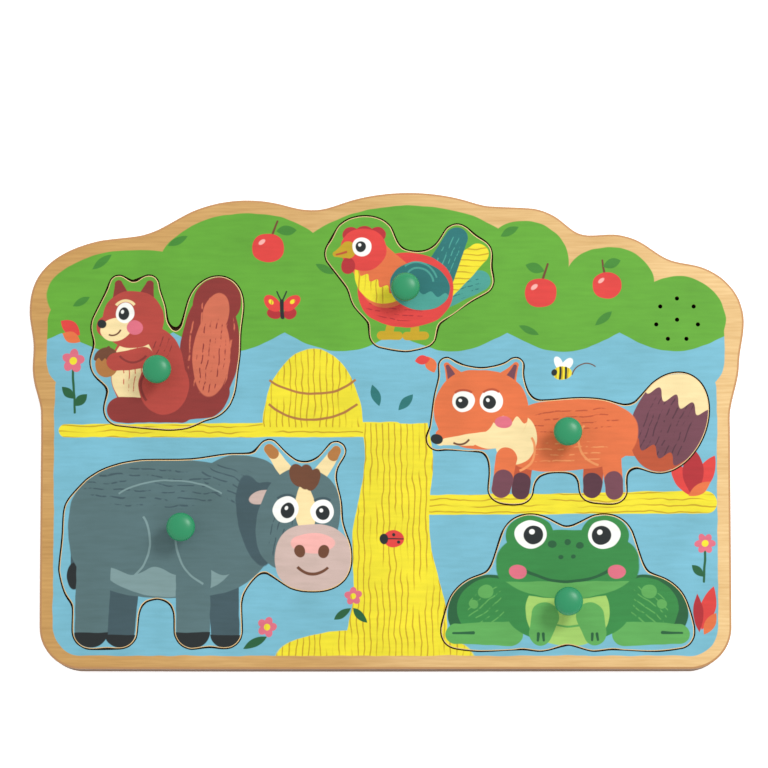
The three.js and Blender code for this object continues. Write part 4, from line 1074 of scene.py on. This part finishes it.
def makeLayers():
    for nodeName in ("face_plate", "recess_floor", "spacer_frame"):
        low, high = nodeSpan(nodeName)
        outer, *holes = [smoothOutline(outline) for outline in nodeOutlines(nodeName, low.z)]
        topEdge = board["edge"] if nodeName == "face_plate" else 0
        finishPiece(makePlate(outer, [[hole] for hole in holes], low.z, high.z, 0, topEdge), nodeName, True)


backHoles = {
    "headRadius": 3.3,
    "shankRadius": 1.8,
    "sink": 0.3,
    "cone": 1.7,
}


# The back, with its opening for the battery box and a countersink for each wood screw
def makeBackPlate():
    low, high = nodeSpan("back_plate")
    outer, opening, *sinks = nodeOutlines("back_plate", low.z)
    narrow = backHoles["shankRadius"] / backHoles["headRadius"]
    through = high.z - low.z - backHoles["sink"] - backHoles["cone"]
    steps = (backHoles["sink"], 1), (backHoles["cone"], narrow), (through, 1)
    holes = [[roundedRing(opening, board["openingCorner"])]]
    holes += [[smoothOutline(sink), *steps] for sink in sinks]
    mesh = makePlate(smoothOutline(outer), holes, low.z, high.z, board["backEdge"])
    finishPiece(mesh, "back_plate", True)


def makeAnimalPieces():
    for name in animalNames:
        low, high = nodeSpan(name + "_piece")
        ease = board["pieceEdge"]
        outer = nodeOutlines(name + "_piece", low.z + ease)[0]
        hole = nodeOutlines(name + "_piece", low.z)[-1]
        mesh = makePlate(smoothOutline(outer), [[smoothOutline(hole)]], low.z, high.z, ease, ease)
        finishPiece(mesh, name + "_piece", True)


# A turned shape about an upright line, from its outline of radius and height pairs
def spinOutline(outline, x, y, sides):
    mesh = bmesh.new()
    verts = [mesh.verts.new(((x + radius) * mm, y * mm, height * mm)) for radius, height in outline]
    edges = [mesh.edges.new(pair) for pair in zip(verts, verts[1:])]
    turn = {"axis": (0, 0, 1), "angle": 2 * math.pi, "steps": sides, "use_merge": True}
    bmesh.ops.spin(mesh, geom=verts + edges, cent=(x * mm, y * mm, 0), **turn)
    return mesh


knobShape = {
    "height": 14,
    "headRadius": 6,
    "headDepth": 5.4,
    "neckRadius": 2.9,
    "baseRadius": 4.6,
    "baseDepth": 0.8,
    "spigotRadius": 2.5,
    "widest": 0.62,  # share of the head's depth, from its top
    "crownFlat": 0.6,
    "crownDrop": 0.2,
    "curveSteps": 12,
    "sides": 64,
}


def makeKnobs():
    shape = knobShape
    headTop = faceTop + shape["height"]
    widest = headTop - shape["headDepth"] * shape["widest"]
    headUnder = headTop - shape["headDepth"]
    shoulder = headTop - shape["headDepth"] * shape["crownDrop"]
    baseTop = faceTop + shape["baseDepth"]
    neck, head, base = shape["neckRadius"], shape["headRadius"], shape["baseRadius"]
    spigot = shape["spigotRadius"]
    waist = (baseTop + headUnder) / 2
    bends = [
        ((base, baseTop), (neck, baseTop), (neck, baseTop + base / 2), (neck, waist)),
        ((neck, waist), (neck, headUnder), (head, headUnder), (head, widest)),
        ((head, widest), (head, shoulder), (head * shape["crownFlat"], headTop), (0, headTop)),
    ]
    for name in animalNames:
        middle = nodeMiddle(name + "_knob")
        bottom = nodeSpan(name + "_knob")[0].z
        outline = [(0, bottom), (spigot, bottom), (spigot, faceTop), (base, faceTop)]
        for bend in bends:
            points = interpolate_bezier(*[Vector(point).to_3d() for point in bend], shape["curveSteps"])
            outline += [(point.x, point.y) for point in points]
        finishPiece(spinOutline(outline, middle.x, middle.y, shape["sides"]), name + "_knob")


sensorShape = {
    "noseRadius": 2.1,
    "flangeRadius": 3.8,
    "flangeDepth": 1.2,
    "dome": 0.8,
    "domeSteps": 6,
    "sides": 32,
}


# A light sensor: a flange and a nose with a rounded window
def makeSensors():
    shape = sensorShape
    radius, dome = shape["noseRadius"], shape["dome"]
    for name in animalNames:
        nodeName = name + "_light_sensor"
        low, high = nodeSpan(nodeName)
        middle = nodeMiddle(nodeName)
        ledge = low.z + shape["flangeDepth"]
        flange = shape["flangeRadius"]
        outline = [(0, low.z), (flange, low.z), (flange, ledge), (radius, ledge)]
        for i in range(shape["domeSteps"] + 1):
            turn = math.pi / 2 * i / shape["domeSteps"]
            outline.append((radius - dome + dome * math.cos(turn), high.z - dome + dome * math.sin(turn)))
        outline.append((0, high.z))
        finishPiece(spinOutline(outline, middle.x, middle.y, shape["sides"]), nodeName)


screwShape = {
    "sides": 32,
    "crossReach": 0.6,  # of the head's radius
    "crossWidth": 0.2,
    "crossDepth": 0.45,
    "crossTaper": 0.6,
    "countersunk": (3, ((1.4, 1.5), (9.2, 1.5), (2.4, 0.2))),  # head radius, then heights and radii
    "pan": (2.2, ((0.75, 2.2), (0.35, 1.85), (0, 1), (2.7, 1), (1.2, 0.15))),
}


# A screw whose head's face is at height 0 and whose shank points up
def makeScrew(nodeName, kind, pointsUp=True):
    shape = screwShape
    headRadius, steps = shape[kind]
    low, high = nodeSpan(nodeName)
    steps = [list(step) for step in steps]
    steps[-2][0] += high.z - low.z - sum(step[0] for step in steps)
    mesh = bmesh.new()
    made = bmesh.ops.create_circle(mesh, segments=shape["sides"], radius=headRadius * mm)
    rim = list({edge for vert in made["verts"] for edge in vert.link_edges})
    ring, radius = rim, headRadius
    for height, after in steps:
        ring = raiseRing(mesh, ring, height, after / radius)
        radius = after
    bmesh.ops.contextual_create(mesh, geom=ring)
    size = headRadius * shape["crossWidth"] * mm
    arm = headRadius * shape["crossReach"] * mm - size
    square = bmesh.ops.create_grid(mesh, x_segments=1, y_segments=1, size=size)["verts"]
    for side in list(square[0].link_faces[0].edges):
        away = ((side.verts[0].co + side.verts[1].co) / 2).normalized() * arm
        pulled = bmesh.ops.extrude_edge_only(mesh, edges=[side])["geom"]
        bmesh.ops.translate(mesh, verts=[v for v in pulled if isinstance(v, bmesh.types.BMVert)], vec=away)
    plus = [edge for edge in mesh.edges if edge not in rim and edge.is_boundary and edge.verts[0].co.z == 0]
    floor = {vert for edge in plus for vert in edge.verts}
    bmesh.ops.scale(mesh, verts=list(floor), vec=(shape["crossTaper"], shape["crossTaper"], 1))
    bmesh.ops.translate(mesh, verts=list(floor), vec=(0, 0, shape["crossDepth"] * mm))
    cross = raiseRing(mesh, plus, -shape["crossDepth"], 1 / shape["crossTaper"])
    bmesh.ops.triangle_fill(mesh, use_beauty=True, edges=rim + cross, normal=(0, 0, -1))
    if not pointsUp:
        bmesh.ops.scale(mesh, verts=mesh.verts, vec=(1, 1, -1))
    middle = nodeMiddle(nodeName)
    place = Vector((middle.x, middle.y, low.z if pointsUp else high.z)) * mm
    bmesh.ops.translate(mesh, verts=mesh.verts, vec=place)
    finishPiece(mesh, nodeName)


def makeScrews():
    for nodeName in sorted(nodes):
        if nodeName.startswith("back_screw"):
            makeScrew(nodeName, "countersunk")
        elif nodeName.startswith("circuit_screw") or nodeName == "door_screw":
            makeScrew(nodeName, "pan")
        elif nodeName.startswith("box_screw"):
            makeScrew(nodeName, "pan", False)


# Moulded pieces with their edges broken, and how wide
softEdges = {
    "battery_door": 0.2,
    "battery_box": 0.2,
    "circuit_board": 0.15,
    "capacitor": 0.4,
}
softSteps = 2
flatBend = math.radians(1)
sharpBend = math.radians(50)


def makeMouldings():
    for nodeName, width in softEdges.items():
        mesh = mergedCopy(nodeName)
        bmesh.ops.dissolve_limit(mesh, angle_limit=flatBend, verts=mesh.verts[:], edges=mesh.edges[:])
        mesh.normal_update()
        sharp = [edge for edge in mesh.edges if edge.calc_face_angle() > sharpBend]
        form = {"offset": width * mm, "segments": softSteps, "profile": 0.5, "clamp_overlap": True}
        bmesh.ops.bevel(mesh, geom=sharp, affect="EDGES", material=-1, **form)
        finishPiece(mesh, nodeName)


makeLayers()
makeBackPlate()
print("layers made")
makeAnimalPieces()
makeKnobs()
print("pieces and knobs made")
makeSensors()
makeScrews()
makeMouldings()
print("sensors, screws and mouldings made")

studio = {
    "fill": 0.84,
    "keyPower": 12.5,
    "keySize": 0.5,
    "keyPlace": (0.75, 0.64, 1.28),
    "floorReach": 3,  # m to each side
    "floorGlow": 0.55,
    "floorDrop": 0.05,  # mm below the object, so that the two faces aren't one
    "distance": 2.0,
    "elevation": 84,
    "sensor": 36,
    "viewWidth": 323.1,  # mm of the board's plane across the picture
    "aim": (-1.05, 19.25),
    "paper": (250, 250, 250),
    "paperShade": (236, 236, 236),
    "shadeSize": 200,
    "shadeShare": 0.04,
    "roughness": 0.9,
}


def setStage():
    scene = bpy.context.scene
    scene.view_settings.view_transform = "Standard"
    floor = bmesh.new()
    bmesh.ops.create_grid(floor, x_segments=1, y_segments=1, size=studio["floorReach"])
    data = bpy.data.meshes.new("floor")
    floor.to_mesh(data)
    floor.free()
    plane = bpy.data.objects.new("floor", data)
    plane.location.z = -studio["floorDrop"] * mm
    scene.collection.objects.link(plane)
    paper = Finish("floor_paper")
    shade = paper.noise(studio["shadeSize"], 2) * studio["shadeShare"]
    colour = paper.mix(shade, studio["paper"], studio["paperShade"])
    glow = {"Emission Color": (1, 1, 1, 1), "Emission Strength": studio["floorGlow"]}
    data.materials.append(paper.surface(colour, studio["roughness"], fixed=glow))
    world = bpy.data.worlds.new("studio")
    world.use_nodes = True
    background = world.node_tree.nodes["Background"].inputs
    background["Color"].default_value = (1, 1, 1, 1)
    background["Strength"].default_value = studio["fill"]
    scene.world = world
    light = bpy.data.lights.new("key", "AREA")
    light.shape = "DISK"
    light.energy = studio["keyPower"]
    light.size = studio["keySize"]
    key = bpy.data.objects.new("key", light)
    key.location = studio["keyPlace"]
    key.rotation_euler = (-Vector(studio["keyPlace"])).to_track_quat("-Z", "Y").to_euler()
    scene.collection.objects.link(key)
    camera = bpy.data.cameras.new("camera")
    camera.sensor_width = studio["sensor"]
    camera.lens = camera.sensor_width * studio["distance"] / (studio["viewWidth"] * mm)
    holder = bpy.data.objects.new("camera", camera)
    raised = math.radians(studio["elevation"])
    back = Vector((0, -math.cos(raised), math.sin(raised)))
    holder.location = Vector((*studio["aim"], faceTop)) * mm + back * studio["distance"]
    holder.rotation_euler = (-back).to_track_quat("-Z", "Y").to_euler()
    scene.collection.objects.link(holder)
    scene.camera = holder


setStage()
